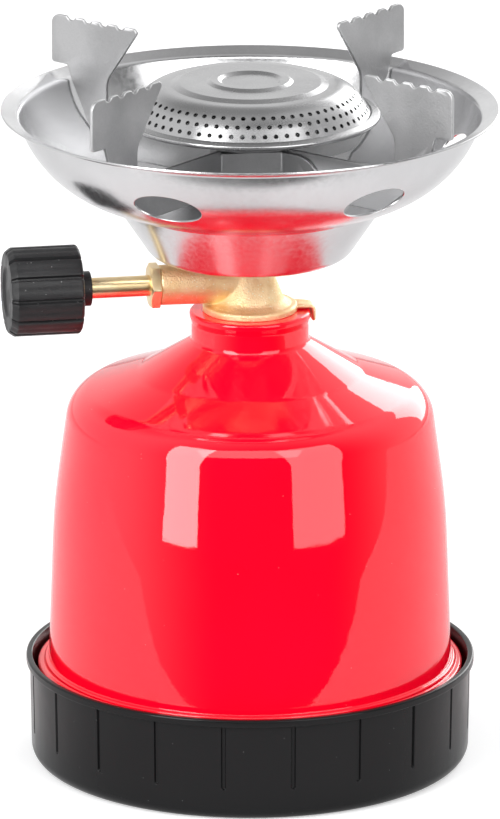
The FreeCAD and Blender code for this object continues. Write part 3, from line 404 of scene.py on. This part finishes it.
bell_outline = thickened(rounded([
    (53.4, 8.0), (53.4, 24.9, 0.9), (51.6, 24.9, 0.5), (51.6, 26.0, 0.6), (50.6, 26.0, 0.4),
    (49.1, 66.0, 150), (45.2, 94.2, 9), (28, 100.2, 8), (14.65, 108.4, 1.5), (14.65, 113.0, 2),
    (15.1, 114.6, 1), (15.1, 116, 0.7), (8.2, 116)], 2.5), bell_sheet)
bell = skin("bell", round_z(bell_outline, all_round(256)), loop=True)
red_deep, red_full, red_dust = (0.95, 0.001, 0.016), (1.0, 0.001, 0.022), (0.9, 0.3, 0.3)
enamel, tree, shader = new_material("red_enamel", Specular_IOR_Level=0.0, Coat_Weight=1.0,
                                    Coat_Roughness=0.03, Coat_IOR=1.6)
dust = effect(tree, specks, Scale=700, Size=0.06, Share=0.96)
pool = effect(tree, uneven, Scale=18, Low=0.3, High=0.7)
ripple = bump(tree, effect(tree, uneven, Scale=28, Low=0.2, High=0.8), 0.0002, 0.4)
peel = bump(tree, effect(tree, uneven, Scale=420, Low=0.2, High=0.8), 0.00001, 0.4, ripple)
feed(tree, shader,
     Base_Color=blend_colour(tree, dust, blend_colour(tree, pool, red_deep, red_full), red_dust),
     Roughness=between(tree, effect(tree, uneven, Scale=90), 0.30, 0.40),
     Normal=peel,
     Coat_Normal=peel)
dress(bell, "stove", "red_paint", enamel, "shell")

# Inside the neck: the needle in its brass screw, the rubber seal, and the washer and nut that clamp the
# valve. They keep their CAD forms, and so do the jet, the O-ring, the burner tube and its nut.
zinc_dull, zinc_bright = (0.50, 0.51, 0.52), (0.64, 0.65, 0.66)
rubber_black, rubber_worn = (0.015, 0.015, 0.015), (0.03, 0.03, 0.03)
brass_deep, brass_pale = (0.88, 0.66, 0.36), (0.95, 0.76, 0.46)
zinc, tree, shader = new_material("zinc_plate", Metallic=1.0)
haze = effect(tree, uneven, Scale=220)
feed(tree, shader,
     Base_Color=blend_colour(tree, haze, zinc_dull, zinc_bright),
     Roughness=between(tree, haze, 0.24, 0.42))
rubber, tree, shader = new_material("black_rubber", Roughness=0.7)
haze = effect(tree, uneven, Scale=500)
feed(tree, shader,
     Base_Color=blend_colour(tree, haze, rubber_black, rubber_worn),
     Normal=bump(tree, haze, 0.00002))


def turned_brass(name, axis):
    """Bright brass with fine lathe rings across an axis (0 for X, 2 for Z)."""
    made, tree, shader = new_material(name, Metallic=1.0)
    place = node(tree, "SeparateXYZ", {0: node(tree, "TexCoord").outputs["Object"]}).outputs[axis]
    row = node(tree, "CombineXYZ", {axis: place})
    rings = node(tree, "TexNoise", {"Vector": row.outputs[0], "Scale": 5000.0, "Detail": 2.0}).outputs["Fac"]
    haze = effect(tree, uneven, Scale=160)
    feed(tree, shader,
         Base_Color=blend_colour(tree, haze, brass_deep, brass_pale),
         Roughness=between(tree, rings, 0.24, 0.40),
         Normal=bump(tree, rings, 0.000012, 0.6))
    return made


brass_upright = turned_brass("brass_upright", 2)
brass_across = turned_brass("brass_across", 0)
for name in ("needle_holder", "jet"):
    coat(name, brass_upright)
for name in ("piercing_needle", "neck_washer", "neck_nut", "burner_tube", "tube_nut"):
    coat(name, zinc)
for name in ("needle_seal", "spindle_o_ring"):
    coat(name, rubber)

# Valve body: a brass casting, blasted with sand. Cone, barrel and lug flow into each other, and only the
# flange, the spigot under it and the stem above were turned afterwards.
spindle_height = 123.4
lug_half = 2.9
skin_cell, easing_rounds = 0.24, 9


def round_spindle(outline, turns, radii=None):
    """A grid turned about the spindle: (-x, r cos t, its height + r sin t), with outline as (x, r)."""
    radii = np.broadcast_to(outline[:, 1], (len(turns), len(outline))) if radii is None else radii
    turns = turns[:, None]
    along = np.broadcast_to(-outline[:, 0], radii.shape)
    return np.stack([along, radii * np.cos(turns), spindle_height + radii * np.sin(turns)], -1)


def joined(first, *others):
    """The first object with the others' meshes added to it."""
    work = bmesh.new()
    for made in (first, *others):
        work.from_mesh(made.data)
    work.to_mesh(first.data)
    work.free()
    for made in others:
        bpy.data.objects.remove(made)
    return first


ring = all_round(192)
cone = skin("cone", round_z(rounded([
    (0, 116.2), (11.0, 116.2), (11.0, 117.5), (8.6, 118.7, 2.0), (4.6, 128.6, 3), (4.4, 130.5),
    (0, 130.5)]), ring))
barrel = skin("barrel", round_spindle(rounded([
    (0, 0), (0, 5.3), (23.1, 5.0, 0.4), (23.1, 4.0), (17.1, 4.0), (17.1, 3.2), (6.5, 3.2), (4.5, 0.9),
    (4.5, 0)]), ring))
lug_side = rounded([(8.7, 116.2), (15.3, 116.2, 0.2), (15.3, 112.9, 0.2), (16.25, 112.9, 0.4),
                    (16.25, 116.9, 1.2), (12.5, 117.4, 1), (8.7, 117.6)], 15)
lug_points = np.concatenate([np.insert(lug_side, 1, y, axis=1) for y in (-lug_half, lug_half)])
lug_count = len(lug_side)
lug_faces = [list(range(lug_count)), list(range(2 * lug_count - 1, lug_count - 1, -1))]
lug_faces += [[i, (i + 1) % lug_count, (i + 1) % lug_count + lug_count, i + lug_count]
              for i in range(lug_count)]
lug = smooth(new_object("lug", lug_points * mm, lug_faces))
work = bmesh.new()
work.from_mesh(lug.data)
ends = [edge for edge in work.edges if edge.verts[0].co.y * edge.verts[1].co.y > 0]
bmesh.ops.bevel(work, geom=ends, offset=0.5 * mm, segments=3, profile=0.5, affect="EDGES")
work.to_mesh(lug.data)
work.free()

# One skin is drawn over cone, barrel and lug, and eased so that they flow into each other.
casting = joined(cone, barrel, lug)
cast = casting.modifiers.new("cast", "REMESH")
cast.mode = "VOXEL"
cast.voxel_size = skin_cell * mm
ease = casting.modifiers.new("ease", "SMOOTH")
ease.factor = 0.5
ease.iterations = easing_rounds
bpy.context.view_layer.update()
flowed = bpy.data.meshes.new_from_object(casting.evaluated_get(bpy.context.evaluated_depsgraph_get()))
casting.modifiers.clear()
casting.data = flowed
smooth(casting, 60)
flange = skin("flange", round_z(rounded([
    (1.0, 101.2), (6.9, 101.2), (6.9, 100.2), (7.8, 100.2), (7.8, 116), (11.8, 116, 0.2), (11.8, 117.7, 0.7),
    (8.3, 118.0, 1.5), (7.6, 118.6), (1.0, 118.6)]), ring), loop=True)
stem = skin("stem", round_z(rounded([(0.9, 130.2), (3.4, 130.2), (3.4, 138.0, 0.2), (0.9, 138.0)]), ring),
            loop=True)
casting = joined(casting, flange, stem)
casting.name = "valve_casting"
sand_deep, sand_pale, sand_glint = (0.90, 0.67, 0.36), (0.97, 0.77, 0.47), (1.0, 0.93, 0.75)
cast_brass, tree, shader = new_material("cast_brass", Metallic=1.0)
blast = effect(tree, uneven, Scale=2300, Low=0.3, High=0.7)
haze = effect(tree, uneven, Scale=300)
glints = effect(tree, specks, Scale=1900, Size=0.3, Share=0.8)
feed(tree, shader,
     Base_Color=blend_colour(tree, glints, blend_colour(tree, haze, sand_deep, sand_pale), sand_glint),
     Roughness=between(tree, blast, 0.46, 0.64),
     Normal=bump(tree, blast, 0.00009, 1.0))
dress(casting, "stove", "brass_cast", cast_brass, "valve_body")

# Gland nut: a turned brass hexagon whose corners are cut off by a cone at the outer face. Its screw end
# closes the barrel round the spindle.
flats, nut_foot, nut_face = 10.2, 23.1, 25.6
nut_bore, nut_screw, nut_end = 2.67, 3.9, 17.5
nut_steps = np.r_[nut_foot, nut_foot + 0.12, np.linspace(nut_foot + 0.4, nut_face - 0.75, 6),
                  np.linspace(nut_face - 0.6, nut_face, 9)]
turns = all_round(360)
to_flat = (turns + math.pi / 6) % (math.pi / 3) - math.pi / 6
hexagon = (flats / 2 / np.cos(to_flat))[:, None]
hexagon = np.minimum(hexagon, flats / 2 / math.cos(math.radians(29)))
foot_cut = np.where(nut_steps == nut_foot, 0.12, 0.0)[None]
cone_cut = flats / 2 - 0.15 + (nut_face - nut_steps[None]) * 1.7
head = np.minimum(hexagon - foot_cut, cone_cut)
bore = np.full((len(turns), 1), nut_bore)
screw = np.full((len(turns), 1), nut_screw)
nut_line = np.c_[np.r_[nut_foot, nut_steps, nut_face, nut_end, nut_end], np.zeros(len(nut_steps) + 4)]
nut_radii = np.hstack([screw, head, bore, bore, screw])
gland = skin("gland_hexagon", round_spindle(nut_line, turns + math.radians(30), nut_radii), loop=True)
dress(gland, "stove", "brass_turned", brass_across, "gland_nut")

# Spindle: turned brass, with its cone tip, O-ring groove and screw inside the barrel.
spindle_line = rounded([(5.4, 0), (7.4, 2.9), (13.9, 2.9), (13.9, 1.9), (15.4, 1.9), (15.4, 2.9), (16.7, 2.9),
                        (16.7, 2.6), (53.8, 2.6, 0.4), (53.8, 0)])
spindle = skin("spindle_rod", round_spindle(spindle_line, all_round(96)))
dress(spindle, "valve_control", "brass_turned", brass_across, "valve_spindle")

# Knob: satin black moulding with a thin collar. Narrow flutes part its drum into flat lobes, and both of
# its ends are bevelled.
knob_start, drum_start, knob_end = 40.3, 43.2, 61.3
drum_radius, lobe_count = 11.15, 12
first_flute = math.radians(178.6)
flute_depth, flute_half, flat_depth = 0.75, 0.62, 0.16
knob_line = rounded([
    (knob_start, 2.62), (knob_start, 4.35, 0.3), (drum_start, 4.35), (drum_start, 9.4), (drum_start, 10.4),
    (drum_start + 0.25, drum_radius - 0.3, 0.2), (drum_start + 0.7, drum_radius, 0.6),
    (drum_start + 3, drum_radius), (knob_end - 4, drum_radius), (knob_end - 1.5, drum_radius, 0.8),
    (knob_end, drum_radius - 1.1, 0.5), (knob_end, 9.0), (knob_end, 6.5, 0.5), (knob_end - 0.6, 6.0, 0.5),
    (knob_end - 0.6, 0)], 10)
lobe = 2 * math.pi / lobe_count
half_lobe = lobe * drum_radius / 2
fine = np.array([0.15, 0.3, 0.42, 0.5, 0.62, 0.8, 1.0])
fine = np.r_[-fine[::-1], 0, fine] / drum_radius
coarse = np.linspace(1.3 / drum_radius, lobe - 1.3 / drum_radius, 7)
turns = (np.arange(lobe_count)[:, None] * lobe + np.r_[fine, coarse]).ravel()
across = np.abs((turns + lobe / 2) % lobe - lobe / 2)[:, None] * drum_radius
flute = flute_depth * np.clip((flute_half - across) / 0.3, 0, 1)
flat = flat_depth * ((half_lobe - across) / half_lobe * 2 - 1) ** 2
on_drum = np.clip((knob_line[:, 1] - 9.4) / 0.8, 0, 1)[None]
knob_radii = knob_line[:, 1] - on_drum * (flute + flat)
knob = skin("knob_moulding", round_spindle(knob_line, first_flute - turns, knob_radii), angle=50)
knob_colour, knob_dust = (0.016, 0.016, 0.017), (0.16, 0.16, 0.16)
knob_plastic, tree, shader = new_material("knob_plastic", Specular_IOR_Level=0.4)
dust = effect(tree, specks, Scale=1000, Size=0.16, Share=0.90)
haze = effect(tree, uneven, Scale=200)
feed(tree, shader,
     Base_Color=blend_colour(tree, dust, knob_colour, knob_dust),
     Roughness=between(tree, haze, 0.38, 0.52),
     Normal=bump(tree, effect(tree, uneven, Scale=1500), 0.00003, 0.5))
dress(knob, "valve_control", "knob_black", knob_plastic, "knob")

# Bowl: a chromed wind dish of 0.5 mm sheet. Its small round floor is clamped on the valve's stem, and six
# oval air holes are punched through the lower wall of the dish. Its lip is nearly flat.
bowl_sheet, bowl_bevel = 0.5, 0.12
air_count, first_air_hole = 6, math.radians(-90 + 26.7)
air_long, air_high, air_band = 8.8, 5.45, 17.0
within_dish = Vector((0, 0, 155 * mm))
bowl_line = rounded([(3.6, 130.6), (24.5, 130.6, 4.5), (33.9, 144.7, 1.8), (52.5, 150.3, 30),
                     (57.7, 166.1, 1.5), (61.8, 167.5)], 1.5)


def lengths_along(line):
    """The length of a line from its start to each of its points."""
    return np.r_[0, np.cumsum(np.linalg.norm(np.diff(line, axis=0), axis=1))]


def length_near(line, spot):
    """The length along a line at the point of it that is nearest to a spot."""
    return lengths_along(line)[np.hypot(line[:, 0] - spot[0], line[:, 1] - spot[1]).argmin()]


def holed_cell(wide, high, sides, rises, half_long, half_high, radius, shares):
    """One cell of a turned surface with an oval hole in its middle, as (turn, along) offsets.

    Its outer points go round the cell's four sides. Each has a partner on the oval in the direction
    atan2(v / b, u r / a), and ring k lies at share k of the way from the oval to the side.
    """
    u = np.linspace(-wide / 2, wide / 2, sides + 1)
    v = np.linspace(-high / 2, high / 2, rises + 1)
    side_u = np.r_[u[:-1], np.full(rises, wide / 2), u[:0:-1], np.full(rises, -wide / 2)]
    side_v = np.r_[np.full(sides, -high / 2), v[:-1], np.full(sides, high / 2), v[:0:-1]]
    bearing = np.arctan2(side_v / half_high, side_u * radius / half_long)
    oval_u = np.arcsin(half_long * np.cos(bearing) / radius)
    oval_v = half_high * np.sin(bearing)
    share = np.asarray(shares)[None]
    return (oval_u[:, None] * (1 - share) + side_u[:, None] * share,
            oval_v[:, None] * (1 - share) + side_v[:, None] * share)


def pierced(name, line, bands, turn_points, thickness, lip_bevel, angle=40):
    """A turned sheet with bands of holes.

    A point is (r cos t, r sin t, z), with r and z read off the line at a length along it. Each band is
    (count, first turn, middle along, high, half long, half high, sides, rises, shares), and the plain
    surface between the bands follows the line's own points.
    """
    reach = lengths_along(line)

    def points(turn, along):
        radius = np.interp(along, reach, line[:, 0])
        return np.stack([radius * np.cos(turn), radius * np.sin(turn), np.interp(along, reach, line[:, 1])],
                        -1)

    clouds, faces, first = [], [], 0
    turns = all_round(turn_points) + bands[0][1]
    edges = [0.0]
    for count, start, middle, high, half_long, half_high, sides, rises, shares in bands:
        radius = np.interp(middle, reach, line[:, 0])
        u, v = holed_cell(2 * math.pi / count, high, sides, rises, half_long, half_high, radius, shares)
        one = cells(*u.shape)
        for k in range(count):
            clouds.append(points(u + start + 2 * math.pi * k / count, v + middle).reshape(-1, 3))
            faces.append(one + first)
            first += u.size
        edges += [middle - high / 2, middle + high / 2]
    edges.append(reach[-1])
    for low, high in zip(edges[0::2], edges[1::2]):
        if high - low < 1e-6:
            continue
        inside = reach[(reach > low + 0.05) & (reach < high - 0.05)]
        along = np.r_[low, inside, high]
        grid = points(turns[:, None] + 0 * along[None], along[None] + 0 * turns[:, None])
        clouds.append(grid.reshape(-1, 3))
        faces.append(cells(*grid.shape[:2]) + first)
        first += len(turns) * len(along)
    made = new_object(name, np.concatenate(clouds) * mm, np.concatenate(faces))
    work = bmesh.new()
    work.from_mesh(made.data)
    bmesh.ops.remove_doubles(work, verts=work.verts, dist=8e-6)
    bmesh.ops.recalc_face_normals(work, faces=work.faces)
    work.faces.ensure_lookup_table()
    first_face = work.faces[0]
    if first_face.normal.dot(first_face.calc_center_median() - within_dish) < 0:
        bmesh.ops.reverse_faces(work, faces=work.faces)
    work.to_mesh(made.data)
    work.free()
    made.data.polygons.foreach_set("use_smooth", [True] * len(made.data.polygons))
    wall = made.modifiers.new("wall", "SOLIDIFY")
    wall.thickness = thickness * mm
    wall.offset = -1
    wall.use_even_offset = True
    edge = made.modifiers.new("edge", "BEVEL")
    edge.width = lip_bevel * mm
    edge.segments = 2
    edge.limit_method = "ANGLE"
    edge.angle_limit = math.radians(angle)
    edge.harden_normals = True
    return made


air_shares = np.r_[0, 0.05, 0.12, 0.22, 0.34, 0.47, 0.6, 0.74, 0.87, 1]
air_holes = (air_count, first_air_hole, length_near(bowl_line, (51.0, 154.2)), air_band, air_long,
             air_high, 48, 14, air_shares)
bowl = pierced("wind_bowl", bowl_line, [air_holes], 288, bowl_sheet, bowl_bevel)
plate_dull, plate_bright, pit_grey = (0.62, 0.62, 0.628), (0.67, 0.67, 0.678), (0.25, 0.25, 0.25)
chrome, tree, shader = new_material("chrome_plate", Metallic=1.0)
haze = effect(tree, uneven, Scale=45)
fine_lines = effect(tree, uneven, Scale=900)
pits = effect(tree, specks, Scale=700, Size=0.07, Share=0.97)
feed(tree, shader,
     Base_Color=blend_colour(tree, pits, blend_colour(tree, haze, plate_dull, plate_bright), pit_grey),
     Roughness=between(tree, fine_lines, 0.18, 0.24),
     Normal=bump(tree, haze, 0.00012, 0.3))
dress(bowl, "stove", "chrome", chrome, "bowl")

# Pan supports: four like brackets of 1 mm sheet steel, set as a pinwheel round the burner tube. Each is
# one sheet folded at two places: an arm with its notched fin, a web with a foot under the tube, and a short
# flange that is welded to the next bracket's arm.
fold = 8.4
plate, plate_trim, weld_gap = 1.0, 0.04, 0.05
web_end = fold - (plate + weld_gap) / math.sin(math.radians(45))
sheet_foot, arm_foot, web_head, arm_head = 131.6, 148.3, 158.7, 159.5
fin_outer, fin_head = 62.8, 182.3
notch_count, notch_pitch, notch_radius, notch_rise = 4, 5.2, 1.25, 0.25
notch_lip, notch_round = 1.5, 0.5
bend_reach, bend_points = 0.55, 7
heel_radius = 1
foot_radius = 3.9
first_bracket = math.radians(-2.9)
border, cut_edge = 0.42, 0.24

# Painted edge highlight: the base colour is lightened nearly to white where the surface bends outward, at the
# cut edges.
edge_highlight, given, place, leave = shared_group("edge_highlight", {"Start": 0.53, "End": 0.6})
bend = node(edge_highlight, "NewGeometry").outputs["Pointiness"]
highlight_ramp = node(edge_highlight, "MapRange", {0: bend, 1: given["Start"], 2: given["End"]})
edge_highlight.links.new(highlight_ramp.outputs[0], leave)
sheet_dull, sheet_bright, edge_highlight_colour = (0.40, 0.40, 0.405), (0.48, 0.48, 0.485), (0.92, 0.92, 0.93)
steel, tree, shader = new_material("support_sheet", Metallic=1.0)
haze = effect(tree, uneven, Scale=70)
grain = effect(tree, uneven, Scale=1800, Low=0.3, High=0.7)
# This mask paints a highlight along the cut edges into the base colour.
painted_highlight = effect(tree, edge_highlight, Start=0.52, End=0.60)
feed(tree, shader,
     Base_Color=blend_colour(tree, painted_highlight, blend_colour(tree, haze, sheet_dull, sheet_bright), edge_highlight_colour),
     Roughness=between(tree, grain, 0.40, 0.54),
     Normal=bump(tree, grain, 0.00003, 0.6))


def support(name, quarter):
    """A bracket as a sheet through its middle: flat outlines joined by curved strips at the two folds.

    Flat outlines are (reach, height) along a bearing from a corner of the square of webs. A strip follows
    (1 - s) ** 2 * start + 2 s (1 - s) * corner + s ** 2 * end, which leaves both flats along their own
    lines. Solidify gives the sheet's thickness both ways.
    """
    notches = fin_outer - 14.1 + notch_pitch * ((notch_count - 1) / 2 - np.arange(notch_count))
    dips = []
    for middle in notches:
        bearing = np.radians(np.linspace(-168, -12, 9))[::-1]
        arc = np.stack([middle + notch_radius * np.cos(bearing),
                        fin_head + notch_rise + notch_radius * np.sin(bearing)], -1)
        dips += [(middle + notch_lip, fin_head, notch_round), *map(tuple, arc[1:-1]),
                 (middle - notch_lip, fin_head, notch_round)]
    arm_start = fold / math.cos(math.radians(45)) + bend_reach
    arm = rounded([(arm_start, arm_foot), (41.6, arm_foot, 1), (51.0, 155.1, 8), (56.5, 166.1, 2),
                   (57.7, 169.8, 1.0), (fin_outer, 169.8, 0.9), (fin_outer, fin_head, 2.4), *dips,
                   (fin_outer - 28.2, fin_head, 1.1), (fin_outer - 17.6, 167.5, 6),
                   (fin_outer - 17.6, arm_head, 1.5), (arm_start, arm_head), (arm_start, web_head)], 10)
    down, aside = math.radians(225), math.radians(-45)
    points = [np.stack([arm[:, 0] * math.cos(down), arm[:, 0] * math.sin(down), arm[:, 1]], -1)]
    flange = rounded([(bend_reach, web_head), (12.5, web_head, 8), (12.5, arm_foot, 0.5),
                      (bend_reach, arm_foot)], 8)
    points.append(np.stack([web_end + flange[:, 0] * math.cos(aside), -fold + flange[:, 0] * math.sin(aside),
                            flange[:, 1]], -1))
    ends = np.array([bend_reach - fold, web_end - bend_reach])
    web = np.array([(ends[0], sheet_foot + heel_radius), (ends[1], sheet_foot + heel_radius),
                    (ends[1], arm_foot), (ends[1], web_head), (ends[0], web_head), (ends[0], arm_foot)])
    points.append(np.insert(web, 1, -fold, axis=1))
    offsets = np.r_[0, np.cumsum([len(cloud) for cloud in points])]
    faces = [list(range(offsets[i], offsets[i + 1])) for i in range(3)]
    folds = ((np.array([-fold, -fold]), down, 0.0), (np.array([web_end, -fold]), aside, math.pi))
    for corner, outward, inward in folds:
        near, far = (corner + bend_reach * np.array([math.cos(turn), math.sin(turn)])
                     for turn in (outward, inward))
        share = np.linspace(0, 1, bend_points)[:, None]
        curve = (1 - share) ** 2 * near + 2 * share * (1 - share) * corner + share ** 2 * far
        start = sum(len(cloud) for cloud in points)
        points += [np.insert(curve, 2, height, axis=1) for height in (arm_foot, web_head)]
        faces += [[start + i, start + i + 1, start + i + 1 + bend_points, start + i + bend_points]
                  for i in range(bend_points - 1)]
    heel = np.radians(np.linspace(0, 90, 6))
    heel_y = heel_radius - fold - heel_radius * np.cos(heel)
    heel_z = sheet_foot + heel_radius - heel_radius * np.sin(heel)
    start = sum(len(cloud) for cloud in points)
    points.append(np.stack([np.tile(ends, len(heel)), np.repeat(heel_y, 2), np.repeat(heel_z, 2)], -1))
    faces += [[start + 2 * i, start + 2 * i + 1, start + 2 * i + 3, start + 2 * i + 2]
              for i in range(len(heel) - 1)]
    tip = np.radians(np.linspace(-52, -128, 7))
    foot = np.vstack([[(ends[0], heel_radius - fold), (ends[1], heel_radius - fold), (6.0, 1.2 - fold)],
                      np.stack([foot_radius * np.cos(tip), foot_radius * np.sin(tip)], -1)])
    start = sum(len(cloud) for cloud in points)
    points.append(np.insert(foot, 2, sheet_foot, axis=1))
    faces.append(list(range(start, start + len(foot))))
    turn = first_bracket + quarter * math.pi / 2
    cloud = np.concatenate(points)
    cloud = np.stack([cloud[:, 0] * math.cos(turn) - cloud[:, 1] * math.sin(turn),
                      cloud[:, 0] * math.sin(turn) + cloud[:, 1] * math.cos(turn), cloud[:, 2]], -1)
    made = smooth(new_object(name, cloud * mm, faces))
    # A narrow border round the arm and the flange keeps the painted edge highlight at their cut edges. Flats
    # are shaded flat, and the borders, folds and heel smooth.
    work = bmesh.new()
    work.from_mesh(made.data)
    wide_flats = [face for face in work.faces if len(face.verts) > len(foot)]
    bmesh.ops.inset_individual(work, faces=wide_flats, thickness=border * mm, use_even_offset=False)
    for face in work.faces:
        face.smooth = abs(face.normal.z) > 0.02 or len(face.verts) == 4 and face.calc_area() < 3e-5
    work.to_mesh(made.data)
    work.free()
    wall = made.modifiers.new("wall", "SOLIDIFY")
    wall.thickness = (plate - plate_trim) * mm
    wall.offset = 0
    wall.use_even_offset = True
    edge = made.modifiers.new("edge", "BEVEL")
    edge.width = cut_edge * mm
    edge.segments = 3
    edge.limit_method = "ANGLE"
    edge.angle_limit = math.radians(50)
    edge.use_clamp_overlap = False
    return made


for quarter, side in enumerate(("front", "right", "back", "left")):
    dress(support("bracket_" + side, quarter), "stove", "support_steel", steel, "support_" + side)

# Burner head: a drawn pan whose rolled edge holds the pressed cap. The cap has a raised ring round its
# middle, a crease, a round shoulder and three staggered rows of 66 gas holes.
head_sheet, cap_bevel = 0.6, 0.13
row_pitch, gas_count, gas_hole = 2.48, 66, 0.58
pan_line = thickened(rounded([(30.3, 167.1), (32.3, 166.6, 0.5), (32.3, 165.5, 0.55), (29.6, 165.2, 1.2),
                              (14, 160, 4), (5.1, 160)], 10), -head_sheet)
pan = skin("burner_pan_sheet", round_z(pan_line, all_round(256)), loop=True)
cap_line = rounded([(0, 174.7), (7.0, 174.7, 0.5), (8.0, 175.3, 0.6), (9.8, 175.3, 0.6), (10.8, 174.7, 0.5),
                    (17.6, 174.7, 1.5), (19.6, 174.05, 0.5), (24.0, 173.85, 8), (27.2, 170.9, 12),
                    (30.15, 166.5, 0.3), (30.5, 166.5)], 3)
row = length_near(cap_line, (27.5, 170.4))
gas_shares = np.r_[0, 0.45, 1]
gas_rows = [(gas_count, shift * math.pi / gas_count, row + offset * row_pitch, row_pitch, gas_hole, gas_hole,
             4, 4, gas_shares) for offset, shift in ((-1, 0), (0, 1), (1, 0))]
cap = pierced("burner_cap_sheet", cap_line, gas_rows, 264, head_sheet, cap_bevel)
head_dull, head_bright, head_spot = (0.44, 0.44, 0.445), (0.49, 0.49, 0.495), (0.6, 0.6, 0.6)
pressed, tree, shader = new_material("pressed_steel", Metallic=1.0)
haze = effect(tree, uneven, Scale=60)
grain = effect(tree, uneven, Scale=1300, Low=0.3, High=0.7)
spots = effect(tree, specks, Scale=900, Size=0.07, Share=0.97)
feed(tree, shader,
     Base_Color=blend_colour(tree, spots, blend_colour(tree, haze, head_dull, head_bright), head_spot),
     Roughness=between(tree, grain, 0.26, 0.275),
     Normal=bump(tree, haze, 0.00004, 0.3))
dress(cap, "stove", "burner_steel", pressed, "burner_cap")
dress(pan, "stove", "burner_steel", pressed, "burner_pan")

bpy.context.view_layer.update()
